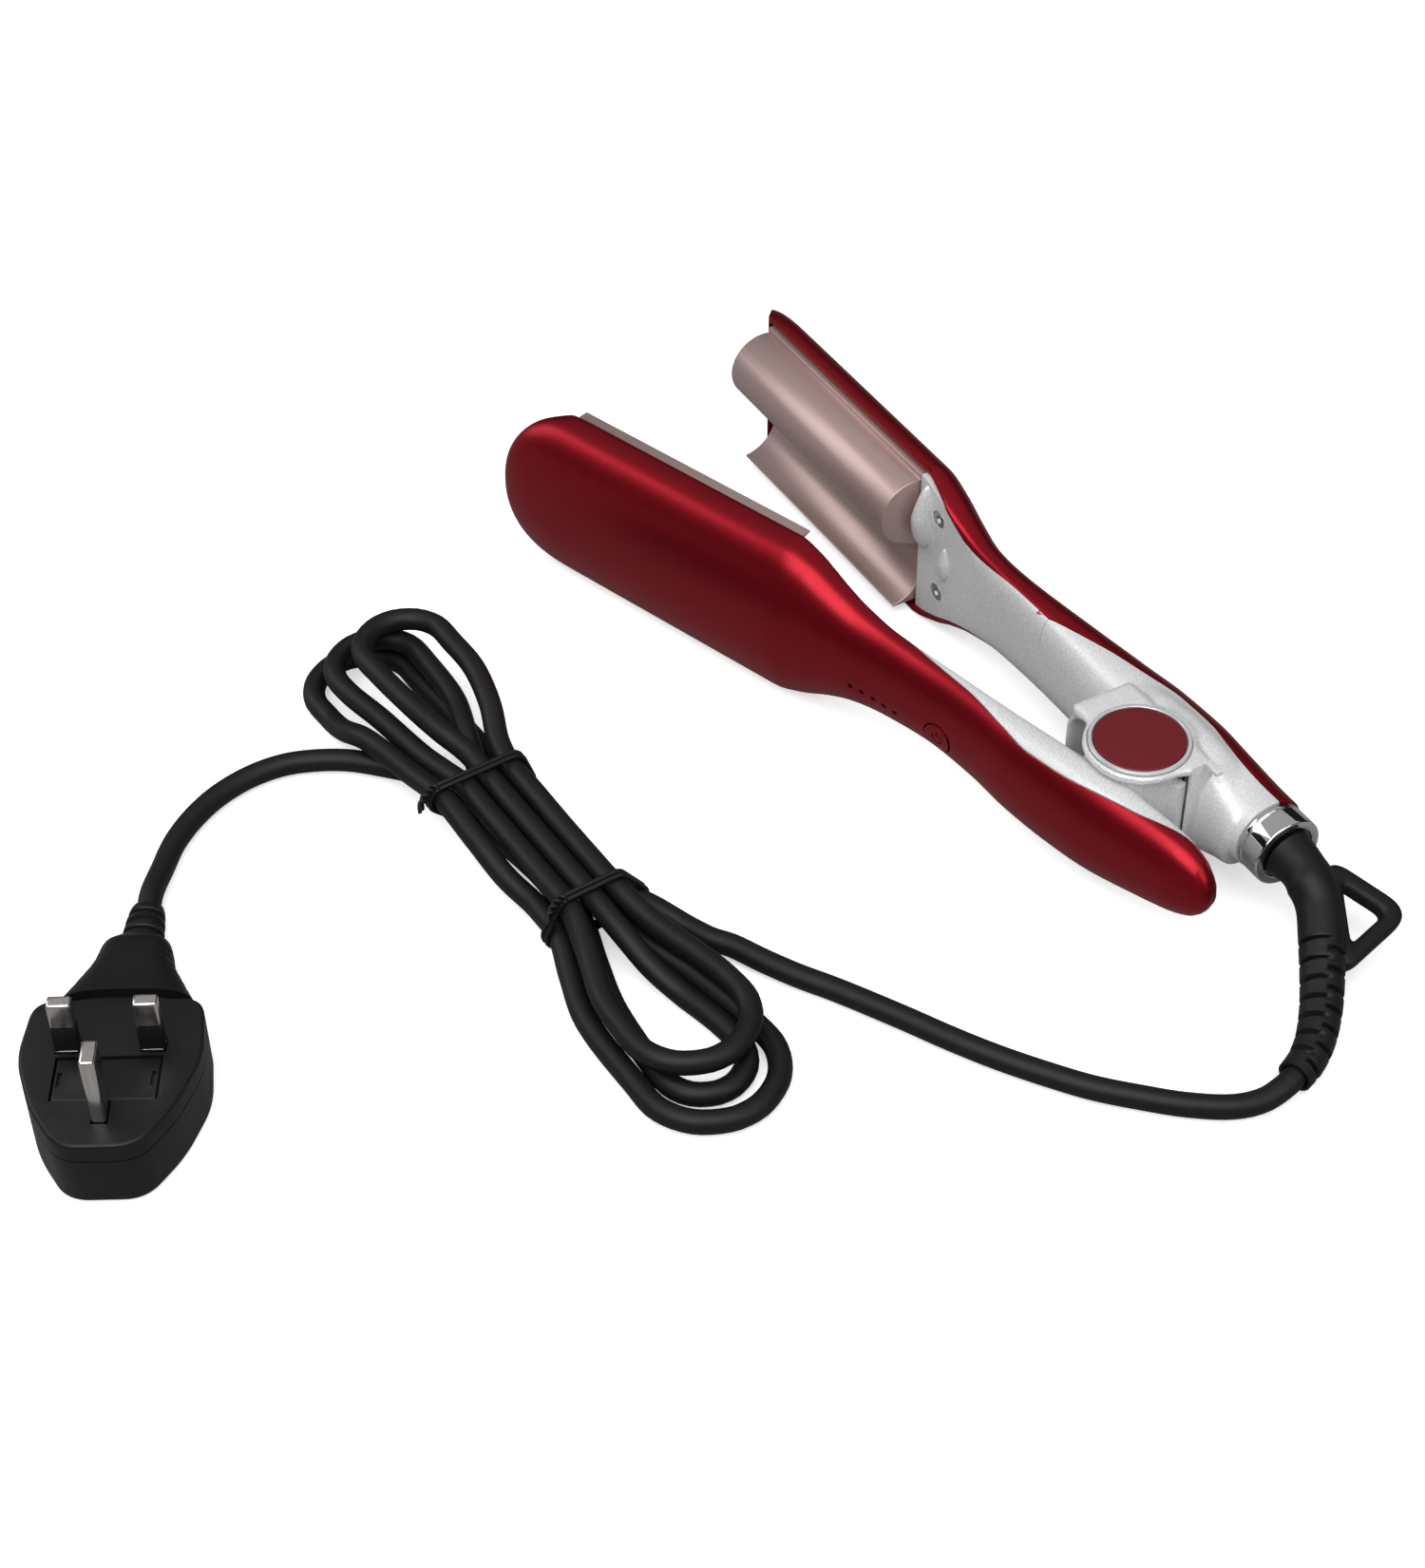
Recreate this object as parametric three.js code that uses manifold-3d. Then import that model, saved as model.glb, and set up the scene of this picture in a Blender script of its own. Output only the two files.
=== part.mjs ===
// Hair crimper with a mains lead: two arms on one hinge, each with a wave plate of one barrel and
// one trough. Millimetres, +Z up. The origin is the hinge axis at the face of the lower hinge cap,
// +X runs along the fixed arm to its tip and +Y points at the moving arm, which stands open.
// Each arm is drawn in its own frame: x along the arm, "out" away from the plates' meeting plane.
import * as THREE from 'three';
import { mergeVertices } from 'three/addons/utils/BufferGeometryUtils.js';
import Module from 'manifold-3d';

const wasm = await Module();
wasm.setup();

// Clearances and walls
const clearance = 0.3;
const slack = 1e-3;
const shellWall = 2;
const housingWall = 2;
const sheetWall = 1.5;

// Hinge
const openAngle = THREE.MathUtils.degToRad(18.7);
const hingeHeight = 42.2;
const capProud = 0.8;
const earThickness = 2.5;
const earRadius = 15.8;
const capRingRadius = 14;
const capDiscRadius = 12.4;
const capRecess = 1.3;
const knuckleRadius = 13.2;
const pinRadius = 3;
const springRadius = 7;
const springWire = 1;
const springTurns = 5;
const springPitch = 2.6;
const hoodFront = 24.5;
const hoodReach = 7.6;
const hoodRear = -17.4;
const hoodWall = 2.4;
const hoodCorner = 8;
const stopReach = -5.5;

// Arms and plates
const paddleStart = 121;
const paddleHeight = 55;
const paddleDepth = 20.5;
const plateLength = 91;
const plateBack = 10.2;
const barrelRadius = 11.5;
const barrelRise = 11.3;
const barrelInset = 3.6;
const nestGap = 0.7;
const lipHeight = 3.3;
const lipTurn = 1.48;
const flangeInset = 3;
const tipLength = 27;
const tipDepth = 16.5;
const rimLow = 4;
const rimHigh = 7.5;
const coverFace = 5.4;

// Rear end and swivel
const collarRadius = 10.9;
const collarLength = 9;
const collarPlace = new THREE.Vector3(-42.7, -21.4, 23);
const spigotRadius = 9.2;
const bushRadius = 7.5;
const neckRadius = 4;
const bootRadius = 6.5;
const bootBase = 7.6;
const bootMouth = 4.9;
const slotCount = 14;

// Mains lead
const cordDiameter = 6.8;
const cordRest = 3.55;
const cordSides = 8;
const hankSides = 6;
const layer = 7.5;
const tieSpan = 29.2;
const tieWire = 1.6;
const waistLift = 2.5;
const hankCentre = new THREE.Vector2(77.28, 150.59);
const hankTurn = THREE.MathUtils.degToRad(183.7);

// Controls
const buttonRadius = 4.75;
const buttonPlace = [57.4, 19.8];
const lightRadius = 0.9;
const lightCount = 5;
const lightPitch = 4.1;
const lightStart = [73.7, 19.5];
const boardLevel = 11.3;
const boardThickness = 1.4;

// Three-pin plug
const plugStart = new THREE.Vector2(113.8, 255.1);
const plugHeading = THREE.MathUtils.degToRad(151.5);
const plugWidth = 49;
const plugLength = 51;
const plugThickness = 21.8;
const pinSpacing = 22.2;
const plugEntry = 4.6;
const reliefLength = 17;
const gripLength = 26;
const neckLength = 6;
const faceHeight = 22;

const paddleMiddle = paddleHeight / 2;
const flangeHeight = paddleHeight - flangeInset;
const plateStart = paddleStart + 1;
const plateEnd = plateStart + plateLength;
const troughRadius = barrelRadius + nestGap;
const tipStart = plateEnd - 9;
const tipEnd = tipStart + tipLength;
const upperEar = hingeHeight - capProud - earThickness;
const lowerEar = capProud;
const kneeGap = 0.5;
const hingeMiddle = hingeHeight / 2;
const knuckleHalf = hingeMiddle - lowerEar - earThickness - kneeGap;
const slopeWidth = rimHigh - rimLow;

const paint = {
  red: { color: 0x8e1018, roughness: 0.35, metalness: 0.6 },
  disc: { color: 0x7b242b, roughness: 0.4, metalness: 0.5 },
  silver: { color: 0xbfc0c2, roughness: 0.45, metalness: 0.6 },
  rose: { color: 0xa88c88, roughness: 0.3, metalness: 0.9 },
  chrome: { color: 0xdadce0, roughness: 0.08, metalness: 1 },
  steel: { color: 0xa6a8ab, roughness: 0.35, metalness: 1 },
  nickel: { color: 0xd2cfc8, roughness: 0.3, metalness: 1 },
  rubber: { color: 0x252526, roughness: 0.75, metalness: 0 },
  plastic: { color: 0x2a2a2b, roughness: 0.5, metalness: 0 },
  ceramic: { color: 0xe4e0d8, roughness: 0.8, metalness: 0 },
  mica: { color: 0xb9a67c, roughness: 0.7, metalness: 0 },
  board: { color: 0x1f5a38, roughness: 0.5, metalness: 0 },
  lens: { color: 0xe8e4dc, roughness: 0.2, metalness: 0 },
};

// --- Solids -------------------------------------------------------------------------------------

// A closed geometry as a manifold, with its faces pointing out.
function solid(geometry) {
  const bare = new THREE.BufferGeometry();
  bare.setAttribute('position', geometry.attributes.position.clone());
  if (geometry.index) bare.setIndex(geometry.index.clone());
  const merged = mergeVertices(bare, slack / 10);
  const corners = merged.index.array;
  const kept = [];
  for (let i = 0; i < corners.length; i += 3) {
    const [a, b, c] = [corners[i], corners[i + 1], corners[i + 2]];
    if (a !== b && b !== c && c !== a) kept.push(a, b, c);
  }
  const vertProperties = Float32Array.from(merged.attributes.position.array);
  const build = (list) => new wasm.Manifold(
    new wasm.Mesh({ numProp: 3, vertProperties, triVerts: Uint32Array.from(list) }));
  const first = build(kept);
  if (first.volume() > 0) return first;
  const turned = [];
  for (let i = 0; i < kept.length; i += 3) turned.push(kept[i], kept[i + 2], kept[i + 1]);
  return build(turned);
}

function toGeometry(manifold) {
  const mesh = manifold.getMesh();
  const geometry = new THREE.BufferGeometry();
  geometry.setAttribute('position', new THREE.BufferAttribute(mesh.vertProperties, 3));
  geometry.setIndex(new THREE.BufferAttribute(mesh.triVerts, 1));
  geometry.computeVertexNormals();
  return geometry;
}

// The first solid, joined with or cut by all the others.
const join = (first, ...others) => others.reduce((sum, part) => sum.add(part), first);
const cut = (first, ...others) => others.reduce((rest, tool) => rest.subtract(tool), first);

function piece(name, shape, look) {
  const geometry = shape.isBufferGeometry ? shape : toGeometry(shape);
  const mesh = new THREE.Mesh(geometry, new THREE.MeshStandardMaterial(look));
  mesh.name = name;
  return mesh;
}

// A box between two corners.
function block([x0, y0, z0], [x1, y1, z1]) {
  const geometry = new THREE.BoxGeometry(x1 - x0, y1 - y0, z1 - z0);
  geometry.translate((x0 + x1) / 2, (y0 + y1) / 2, (z0 + z1) / 2);
  return solid(geometry);
}

// A round bar from one point to another, tapered when a second radius is given.
function rod(from, to, radius, endRadius = radius, sides = 24) {
  const start = new THREE.Vector3(...from);
  const axis = new THREE.Vector3(...to).sub(start);
  const length = axis.length();
  const geometry = new THREE.CylinderGeometry(endRadius, radius, length, sides);
  geometry.translate(0, length / 2, 0);
  geometry.applyQuaternion(
    new THREE.Quaternion().setFromUnitVectors(new THREE.Vector3(0, 1, 0), axis.normalize()));
  geometry.translate(start.x, start.y, start.z);
  return solid(geometry);
}

// A turned part on the Z axis from [radius, height] points.
function turned(profile, sides = 32) {
  const geometry = new THREE.LatheGeometry(profile.map(([r, h]) => new THREE.Vector2(r, h)), sides);
  geometry.rotateX(Math.PI / 2);
  return geometry;
}

// A closed skin over rings of equal point count, flat at both ends.
function skin(rings) {
  const count = rings[0].length;
  const positions = rings.flat().flatMap((p) => [p.x, p.y, p.z]);
  const index = [];
  for (let i = 0; i + 1 < rings.length; i += 1) {
    for (let j = 0; j < count; j += 1) {
      const a = i * count + j;
      const b = i * count + ((j + 1) % count);
      index.push(a, b, a + count, b, b + count, a + count);
    }
  }
  const last = (rings.length - 1) * count;
  for (let j = 1; j + 1 < count; j += 1) {
    index.push(0, j + 1, j);
    index.push(last, last + j, last + j + 1);
  }
  const geometry = new THREE.BufferGeometry();
  geometry.setAttribute('position', new THREE.Float32BufferAttribute(positions, 3));
  geometry.setIndex(index);
  return geometry;
}

// A section [a, b] carried along points without twist; it may change on the way.
function sweep(points, sectionAt) {
  const tangents = points.map((p, i) => {
    const ahead = points[Math.min(i + 1, points.length - 1)];
    const behind = points[Math.max(i - 1, 0)];
    return ahead.clone().sub(behind).normalize();
  });
  const side = new THREE.Vector3(0, 0, 1).cross(tangents[0]).normalize();
  const rings = points.map((point, i) => {
    if (i > 0) {
      side.applyQuaternion(
        new THREE.Quaternion().setFromUnitVectors(tangents[i - 1], tangents[i]));
    }
    const up = tangents[i].clone().cross(side);
    return sectionAt(i / (points.length - 1)).map(([a, b]) => (
      point.clone().addScaledVector(side, a).addScaledVector(up, b)));
  });
  return skin(rings);
}

const circle = (radius, sides) => Array.from({ length: sides }, (_, k) => {
  const angle = (2 * Math.PI * (k + 0.5)) / sides;
  const reach = radius / Math.cos(Math.PI / sides / 2);
  return [reach * Math.cos(angle), reach * Math.sin(angle)];
});

// --- Arm sections -------------------------------------------------------------------------------

// Rows of the grip from the paddle back to the tail: x, middle z, half height, and the "out" of its
// inner face, widest place and back, with the squareness of the inner face.
const gripRows = (shares) => shares.map(([share, ...row]) => (
  [hoodFront + share * (paddleStart - hoodFront), ...row]));
const neckShares = [
  [0.9, 27.5, 25, 2.4, 8.5, 19.5, 6],
  [0.8, 27.3, 20.5, 4, 8.5, 18.3, 5],
  [0.7, 27, 17, 5, 8.5, 17.4, 4],
];
const fixedShares = [
  [0.575, 26.6, 15.2, 6, 9.6, 18.6, 3],
  [0.4, 26, 14.8, 6.5, 11.5, 21.6, 3],
  [0.23, 24.6, 15, 7, 14, 25.4, 3],
];
const movingShares = [
  [0.575, 26.5, 15, 6, 9, 16.6, 3],
  [0.4, 25.5, 14, 6.5, 9.5, 16.8, 3],
  [0.23, 24, 14.5, 7, 11, 18.5, 3],
];
const collarAxis = -collarPlace.y;
// Beside the hinge a row's middle and half height follow the knuckle's.
const fixedHingeRows = [
  [30, hingeMiddle + 1.9, knuckleHalf - 1.7, 7.5, 17, 29, 3],
  [15, hingeMiddle + 0.9, knuckleHalf - 0.6, 8.4, 19, 31.4, 3],
  [0, hingeMiddle + 0.5, knuckleHalf - 0.4, 8.5, 20.5, 32.2, 3],
  [-15, hingeMiddle + 1.2, knuckleHalf - 3.3, 9, collarAxis - 0.4, collarAxis + collarRadius, 2.6],
  [-28, collarPlace.z, 11.3, collarAxis - collarRadius - 0.6, collarAxis, collarAxis + collarRadius, 2],
  [-50, collarPlace.z, collarRadius, collarAxis - collarRadius, collarAxis,
    collarAxis + collarRadius, 2],
];
const movingHingeRows = [
  [30, hingeMiddle + 1.4, knuckleHalf - 1.3, 7.5, 13.5, 22, 3],
  [15, hingeMiddle + 0.7, knuckleHalf - 0.4, 8.4, 15.5, 24, 3],
  [0, hingeMiddle + 0.3, knuckleHalf - 0.2, 8.5, 17, 25.5, 3],
  [-15, hingeMiddle + 0.4, knuckleHalf - 3.3, 11.5, 17.5, 25, 3],
  [-28, 21.5, 12, 13, 18.5, 25.5, 2.6],
  [-36, 21.5, 9, 15, 19.5, 25, 2.3],
  [-40, 21.5, 5, 17.2, 20.2, 24, 2],
  [-41.2, 21.5, 2, 19, 20.4, 22.4, 2],
];
const backPower = 2.3;
const halfPoints = 9;

function paddleRows() {
  const row = (x, scale) => [
    x,
    paddleMiddle,
    (paddleHeight / 2) * scale,
    tipDepth + (2 - tipDepth) * scale,
    tipDepth + (8.5 - tipDepth) * scale,
    tipDepth + (paddleDepth - tipDepth) * scale,
    6,
  ];
  const tip = [0.995, 0.96, 0.88, 0.75, 0.55, 0.3].map((u) => (
    row(tipStart + u * tipLength, Math.cbrt(1 - u ** 3))));
  return [...tip, row(tipStart, 1), row(paddleStart + 14, 1), row(paddleStart, 1)];
}

const fixedRows = [...paddleRows(), ...gripRows([...neckShares, ...fixedShares]), ...fixedHingeRows];
const movingRows = [...paddleRows(), ...gripRows([...neckShares, ...movingShares]), ...movingHingeRows];

// One ring of [out, z] points round a row, pulled in by an inset.
function armSection([, middle, half, inner, widest, back, power], inset) {
  const points = [];
  for (let k = 0; k < halfPoints * 2; k += 1) {
    const angle = (Math.PI * (k + 0.5)) / halfPoints - Math.PI / 2;
    const outward = Math.cos(angle) > 0;
    const n = outward ? backPower : power;
    const reach = Math.max((outward ? back - widest : widest - inner) - inset, 0.3);
    const rise = Math.max(half - inset, 0.3);
    points.push([
      widest + Math.sign(Math.cos(angle)) * reach * Math.abs(Math.cos(angle)) ** (2 / n),
      middle + Math.sign(Math.sin(angle)) * rise * Math.abs(Math.sin(angle)) ** (2 / n),
    ]);
  }
  return points;
}

// The same ring with its inner half opened towards the other arm.
function openSection(row, inset) {
  const [, middle, half] = row;
  return armSection(row, inset).map(([out, z]) => (
    out < row[4] ? [Math.min(out, row[4]) - 2 * rimHigh, middle + Math.sign(z - middle) * (half - inset)]
      : [out, z]));
}

// An arm is drawn once with "out" along -Y for the fixed arm (side -1) and +Y for the moving arm.
const armSkin = (rows, side, section, inset) => solid(skin(rows.map((row) => (
  section(row, inset).map(([out, z]) => new THREE.Vector3(row[0], side * out, z))))));

// A prism over an [x, out] outline, through the arm's whole height.
function armPrism(outline, side, low = -10, high = 70) {
  const shape = new THREE.Shape(outline.map(([x, out]) => new THREE.Vector2(x, side * out)));
  const geometry = new THREE.ExtrudeGeometry(shape, { depth: high - low, bevelEnabled: false });
  geometry.translate(0, 0, low);
  return solid(geometry);
}

// A prism over an [out, z] outline along x.
function alongPrism(outline, side, from, to) {
  const ring = (x) => outline.map(([out, z]) => new THREE.Vector3(x, side * out, z));
  return solid(skin([ring(from), ring(to)]));
}

const armBlock = ([x0, o0, z0], [x1, o1, z1], side) => block(
  [x0, Math.min(side * o0, side * o1), z0], [x1, Math.max(side * o0, side * o1), z1]);

const armRod = (x, z, from, to, radius, side, sides = 20, endRadius = radius) => rod(
  [x, side * from, z], [x, side * to, z], radius, endRadius, sides);

// --- Shells and housings ------------------------------------------------------------------------

// The colour split between shell and housing, seen from above as [x, out]; beyond its last point
// the shell goes round the flat cover.
const fixedSeam = [[-60, 24.2], [-34, 24.1], [-12, 23.4], [-2.5, 24.1], [10.5, 23.8], [22, 21.5],
  [35, 18.3], [46.5, 14], [56.5, 10.4], [66, 7.6], [72, 6.2]];
const movingSeam = [[-60, 15], [-38, 15.5], [-28, 16.8], [-12, 20], [6, 21], [24, 19.5],
  [36, 16.3], [50, 12.3], [60, 10.8], [73, 9], [78, 8], [88, 5.8]];
const coverStart = (seam) => seam[seam.length - 1][0];

const outsideSeam = (seam, side) => armPrism(
  [...seam, [coverStart(seam) + 0.1, -20], [250, -20], [250, 80], [-60, 80]], side);
const insideSeam = (seam, side) => armPrism(
  [...seam.map(([x, out]) => [x, out - clearance]), [coverStart(seam), -20], [-60, -20]], side);

// What lies before the sloping rim, high at the flange edge and low at the lip edge.
function beyondRim(side, start) {
  const slope = (z) => rimLow + (slopeWidth * (side < 0 ? z : paddleHeight - z)) / paddleHeight;
  const outline = [[slope(-5), -5], [slope(60), 60], [-20, 60], [-20, -5]];
  return join(
    alongPrism(outline, side, paddleStart, tipEnd + 5),
    armBlock([start - 1, -20, -5], [paddleStart + 1, coverFace - 0.2, 60], side),
    noseBevel(side, 0));
}

// The tip's slanted front: it leaves the rim at the plate's end and meets the back at the tip.
const noseBevel = (side, depth) => armPrism([[tipStart + 7.5, -20], [tipStart + 7.5, 4 + depth],
  [tipStart + 13, 9 + depth], [tipStart + 20, 14.2 + depth], [tipEnd, 18 + depth],
  [tipEnd + 9, 18 + depth], [tipEnd + 9, -20]], side);

const screwPlaces = [[110.9, 42.4], [110.2, 14.6]];
const screwHead = 2.6;
const screwShank = 1.3;
const bossRadius = 3.2;

function shellBosses(rows, side) {
  const reach = armSkin(rows, side, armSection, shellWall / 2);
  return screwPlaces.map(([x, z]) => cut(
    armRod(x, z, coverFace + housingWall + clearance, paddleDepth, bossRadius, side, 12).intersect(reach),
    armRod(x, z, coverFace, 13, screwShank + clearance / 2, side, 12)));
}

// The hollow arm, before it is split into shell and housing.
function armHull(rows, side, start) {
  const outer = armSkin(rows, side, armSection, 0);
  const paddle = rows.filter(([x]) => x > start - 10 && x < plateEnd + 1.5);
  const mouthEnd = [plateEnd + 1.5, ...paddle[0].slice(1)];
  const mouth = armSkin([mouthEnd, ...paddle], side, openSection, shellWall);
  const grip = armSkin(rows.filter(([x]) => x < paddleStart), side, armSection, shellWall);
  const nose = armSkin(rows.filter(([x]) => x > paddleStart), side, armSection, shellWall)
    .intersect(armBlock([plateEnd - 5, plateBack + 1, -5], [tipEnd, 80, 70], side))
    .subtract(noseBevel(side, 2.6));
  return { outer, hollow: join(mouth, grip, nose) };
}

function movingShell() {
  const start = coverStart(movingSeam);
  const { outer, hollow } = armHull(movingRows, 1, start);
  const [buttonX, buttonZ] = buttonPlace;
  const holes = lightPlaces().map(([x, z]) => armRod(
    x, z, boardLevel, 30, lightRadius + clearance, 1, 10));
  const shell = cut(outer, hollow, beyondRim(1, start)).intersect(outsideSeam(movingSeam, 1));
  return cut(join(shell, ...shellBosses(movingRows, 1)),
    armRod(buttonX, buttonZ, boardLevel, 30, buttonRadius + clearance, 1), ...holes);
}

function fixedShell() {
  const start = coverStart(fixedSeam);
  const { outer, hollow } = armHull(fixedRows, -1, start);
  return cut(
    join(
      cut(outer, hollow, beyondRim(-1, start), pastCollar(0)).intersect(outsideSeam(fixedSeam, -1)),
      ...shellBosses(fixedRows, -1)),
    spigotRoom());
}

// The flat silver cover between the grip and the plate, with its two raised drops.
function coverPlate(rows, side, start) {
  const near = rows.filter(([x]) => x > start - 30 && x < paddleStart + 20);
  const body = armSkin(near, side, openSection, shellWall + clearance)
    .intersect(armBlock([start - 14, coverFace, -5], [paddleStart, coverFace + housingWall, 70], side))
    .intersect(armSkin(near, side, armSection, 0));
  const flip = (z) => (side < 0 ? z : paddleHeight - z);
  const large = drop(paddleStart - 4.2, flip(39.5), 4.2, 11.5, 5.6, side)
    .intersect(armBlock([0, -20, -5], [paddleStart, coverFace + 1, 70], side));
  const small = drop(paddleStart - 14.2, flip(27.6), 2.6, 6.2, 1.8, side)
    .intersect(armBlock([0, -20, -5], [paddleStart, coverFace + 1, 70], side));
  const seats = screwPlaces.flatMap(([x, z]) => [
    armRod(x, z, coverFace - 1, coverFace + 1.3, screwHead + clearance, side, 16),
    armRod(x, z, coverFace - 1, 13, screwShank + clearance, side, 12),
  ]);
  return cut(join(body, large, small), ...seats);
}

// A drop pointed at the flange edge and round at the other, half sunk in the cover.
function drop(x, z, halfWidth, halfHeight, rise, side) {
  const geometry = new THREE.SphereGeometry(1, 14, 10);
  const place = geometry.attributes.position;
  for (let i = 0; i < place.count; i += 1) {
    const along = place.getY(i);
    const taper = 1 - 0.38 * Math.max(along, 0);
    const up = side < 0 ? along : -along;
    place.setXYZ(i,
      x + place.getX(i) * halfWidth * taper,
      side * (coverFace - place.getZ(i) * rise * taper),
      z + up * halfHeight);
  }
  return solid(geometry);
}

function armHousing(rows, seam, side) {
  const outer = armSkin(rows, side, armSection, 0);
  const hollow = armSkin(rows.filter(([x]) => x < paddleStart), side, armSection, housingWall);
  return join(cut(outer, hollow).intersect(insideSeam(seam, side)), coverPlate(rows, side, coverStart(seam)));
}

// --- Hinge --------------------------------------------------------------------------------------

const onAxis = (low, high, radius, sides = 32) => rod([0, 0, low], [0, 0, high], radius, radius, sides);
const knuckleLow = lowerEar + earThickness + kneeGap;
const knuckleHigh = upperEar - kneeGap;
const springFloor = knuckleLow + springPitch * (springTurns + 1) + 4;

// The fixed arm's hood: two ears, the arched front wall and the rear stop wall.
function hingeHood() {
  const ears = [[lowerEar, lowerEar + earThickness], [upperEar, upperEar + earThickness]]
    .flatMap(([low, high]) => [onAxis(low, high, earRadius), earBridge(low, high)]);
  const front = block([hoodFront - hoodWall, -10, hoodCorner], [hoodFront, hoodReach, upperEar - 4]);
  const rear = block([hoodRear, -11, lowerEar + 1], [hoodRear + hoodWall, stopReach, upperEar + 1]);
  return join(...ears, front, hoodArch(), rear);
}

// The plate that ties an ear to the arm's body.
function earBridge(low, high) {
  const shape = new THREE.Shape();
  shape.moveTo(hoodRear, -13);
  shape.lineTo(hoodRear, stopReach);
  shape.lineTo(-earRadius * 0.9, 4);
  shape.lineTo(earRadius * 0.75, hoodReach);
  shape.lineTo(hoodFront - hoodWall, hoodReach);
  shape.lineTo(hoodFront - hoodWall, -13);
  const geometry = new THREE.ExtrudeGeometry(shape, { depth: high - low, bevelEnabled: false });
  geometry.translate(0, 0, low);
  return solid(geometry);
}

// The rounded frame that the moving arm passes through, seen along the grip.
function hoodArch() {
  const low = lowerEar + 0.4;
  const high = upperEar + 1.5;
  const frame = (from, to, inset) => {
    const shape = new THREE.Shape();
    const right = to - inset;
    const bottom = low + inset;
    const top = high - inset;
    const corner = hoodCorner - inset;
    shape.moveTo(from, bottom);
    shape.lineTo(right - corner, bottom);
    shape.absarc(right - corner, bottom + corner, corner, -Math.PI / 2, 0, false);
    shape.absarc(right - corner, top - corner, corner, 0, Math.PI / 2, false);
    shape.lineTo(from, top);
    const geometry = new THREE.ExtrudeGeometry(
      shape, { depth: 10 + hoodReach, bevelEnabled: false, curveSegments: 5 });
    geometry.rotateX(Math.PI / 2);
    geometry.translate(0, hoodReach, 0);
    return solid(geometry);
  };
  return cut(frame(hoodFront - 11, hoodFront, 0), frame(hoodFront - 40, hoodFront, hoodWall));
}

const capSeats = () => [
  onAxis(upperEar + earThickness - capRecess, hingeHeight + 1, capRingRadius + clearance),
  onAxis(-1, lowerEar + capRecess, capRingRadius + clearance),
  onAxis(-1, hingeHeight + 1, pinRadius + clearance, 24),
];

function fixedHousing() {
  const body = cut(armHousing(fixedRows, fixedSeam, -1), pastCollar(0));
  const hood = hingeHood();
  const solidBody = join(body, hood, spigot());
  const inside = armSkin(fixedRows.filter(([x]) => x < 30 && x > -20), -1, armSection, housingWall);
  return cut(solidBody, onAxis(lowerEar + earThickness, upperEar, knuckleRadius + clearance), inside,
    spigotBore(), ...capSeats());
}

// The moving arm's knuckle with its web, spring chamber, bore and stop lug.
function knuckle() {
  const web = block([-9, 0, knuckleLow + 2], [11, 11, knuckleHigh - 2]);
  const lug = block([-16.4, -0.1, knuckleLow + 3], [-8, 3.4, knuckleHigh - 3]);
  const body = join(onAxis(knuckleLow, knuckleHigh, knuckleRadius), web, lug);
  return cut(body,
    onAxis(knuckleLow - 1, springFloor, springRadius + springWire + 2),
    onAxis(0, hingeHeight, pinRadius + clearance, 24));
}

function movingHousing() {
  const posts = [48, 91].map((x) => armRod(x, 21, 6.5, boardLevel - clearance, 1.6, 1, 12));
  const inside = armSkin(movingRows.filter(([x]) => x < 30), 1, armSection, housingWall);
  const arm = join(armHousing(movingRows, movingSeam, 1), ...posts);
  return join(arm, cut(knuckle(), inside));
}

function capParts() {
  const ring = [[capDiscRadius + clearance, 0], [capRingRadius, 0], [capRingRadius, capRecess + 0.2],
    [capRingRadius - 0.4, capRecess + 0.5], [capDiscRadius + clearance, capRecess + 0.5],
    [capDiscRadius + clearance, 0]];
  const thickness = capRecess + capProud - clearance;
  const disc = [[0, 0], [capDiscRadius, 0], [capDiscRadius, thickness - 0.5],
    [capDiscRadius - 0.6, thickness], [0, thickness]];
  const floor = upperEar + earThickness - capRecess + clearance;
  return [
    ['top_cap_ring', ring, paint.chrome, floor, 1],
    ['top_cap_disc', disc, paint.disc, floor, 1],
    ['bottom_cap_ring', ring, paint.chrome, hingeHeight - floor, -1],
    ['bottom_cap_disc', disc, paint.disc, hingeHeight - floor, -1],
  ].map(([name, profile, look, level, way]) => {
    const geometry = turned(profile);
    if (way < 0) geometry.rotateX(Math.PI);
    geometry.translate(0, 0, level);
    return piece(name, solid(geometry), look);
  });
}

function hingePin() {
  const low = lowerEar + capRecess + clearance * 2;
  const high = hingeHeight - low;
  const end = 0.6;
  return turned([[0, low], [pinRadius - end, low], [pinRadius, low + end],
    [pinRadius, high - end], [pinRadius - end, high], [0, high]], 24);
}

// A close-wound torsion spring round the pin; its own clearance is its pitch less its wire.
function torsionSpring() {
  const start = lowerEar + earThickness + clearance + springWire;
  const steps = springTurns * 8;
  const points = Array.from({ length: steps + 1 }, (_, k) => {
    const angle = (2 * Math.PI * k) / 8;
    return new THREE.Vector3(springRadius * Math.cos(angle), springRadius * Math.sin(angle),
      start + (springPitch * k) / 8);
  });
  console.log('torsion spring least gap to itself', (springPitch - 2 * springWire).toFixed(2));
  return sweep(points, () => circle(springWire, 5));
}

// --- Collar and swivel --------------------------------------------------------------------------

// A shape drawn on +Z goes to the collar: +Z runs backwards along the swivel's axis.
const swivelAxis = new THREE.Vector3(-1, 0, 0);
function atCollar(geometry) {
  geometry.applyQuaternion(
    new THREE.Quaternion().setFromUnitVectors(new THREE.Vector3(0, 0, 1), swivelAxis));
  geometry.translate(collarPlace.x, collarPlace.y, collarPlace.z);
  return geometry;
}

const collarSolid = (profile, sides = 36) => solid(atCollar(turned(profile, sides)));
const collarBar = (from, to, radius, sides = 36) => collarSolid(
  [[0, from], [radius, from], [radius, to], [0, to]], sides);

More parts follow.
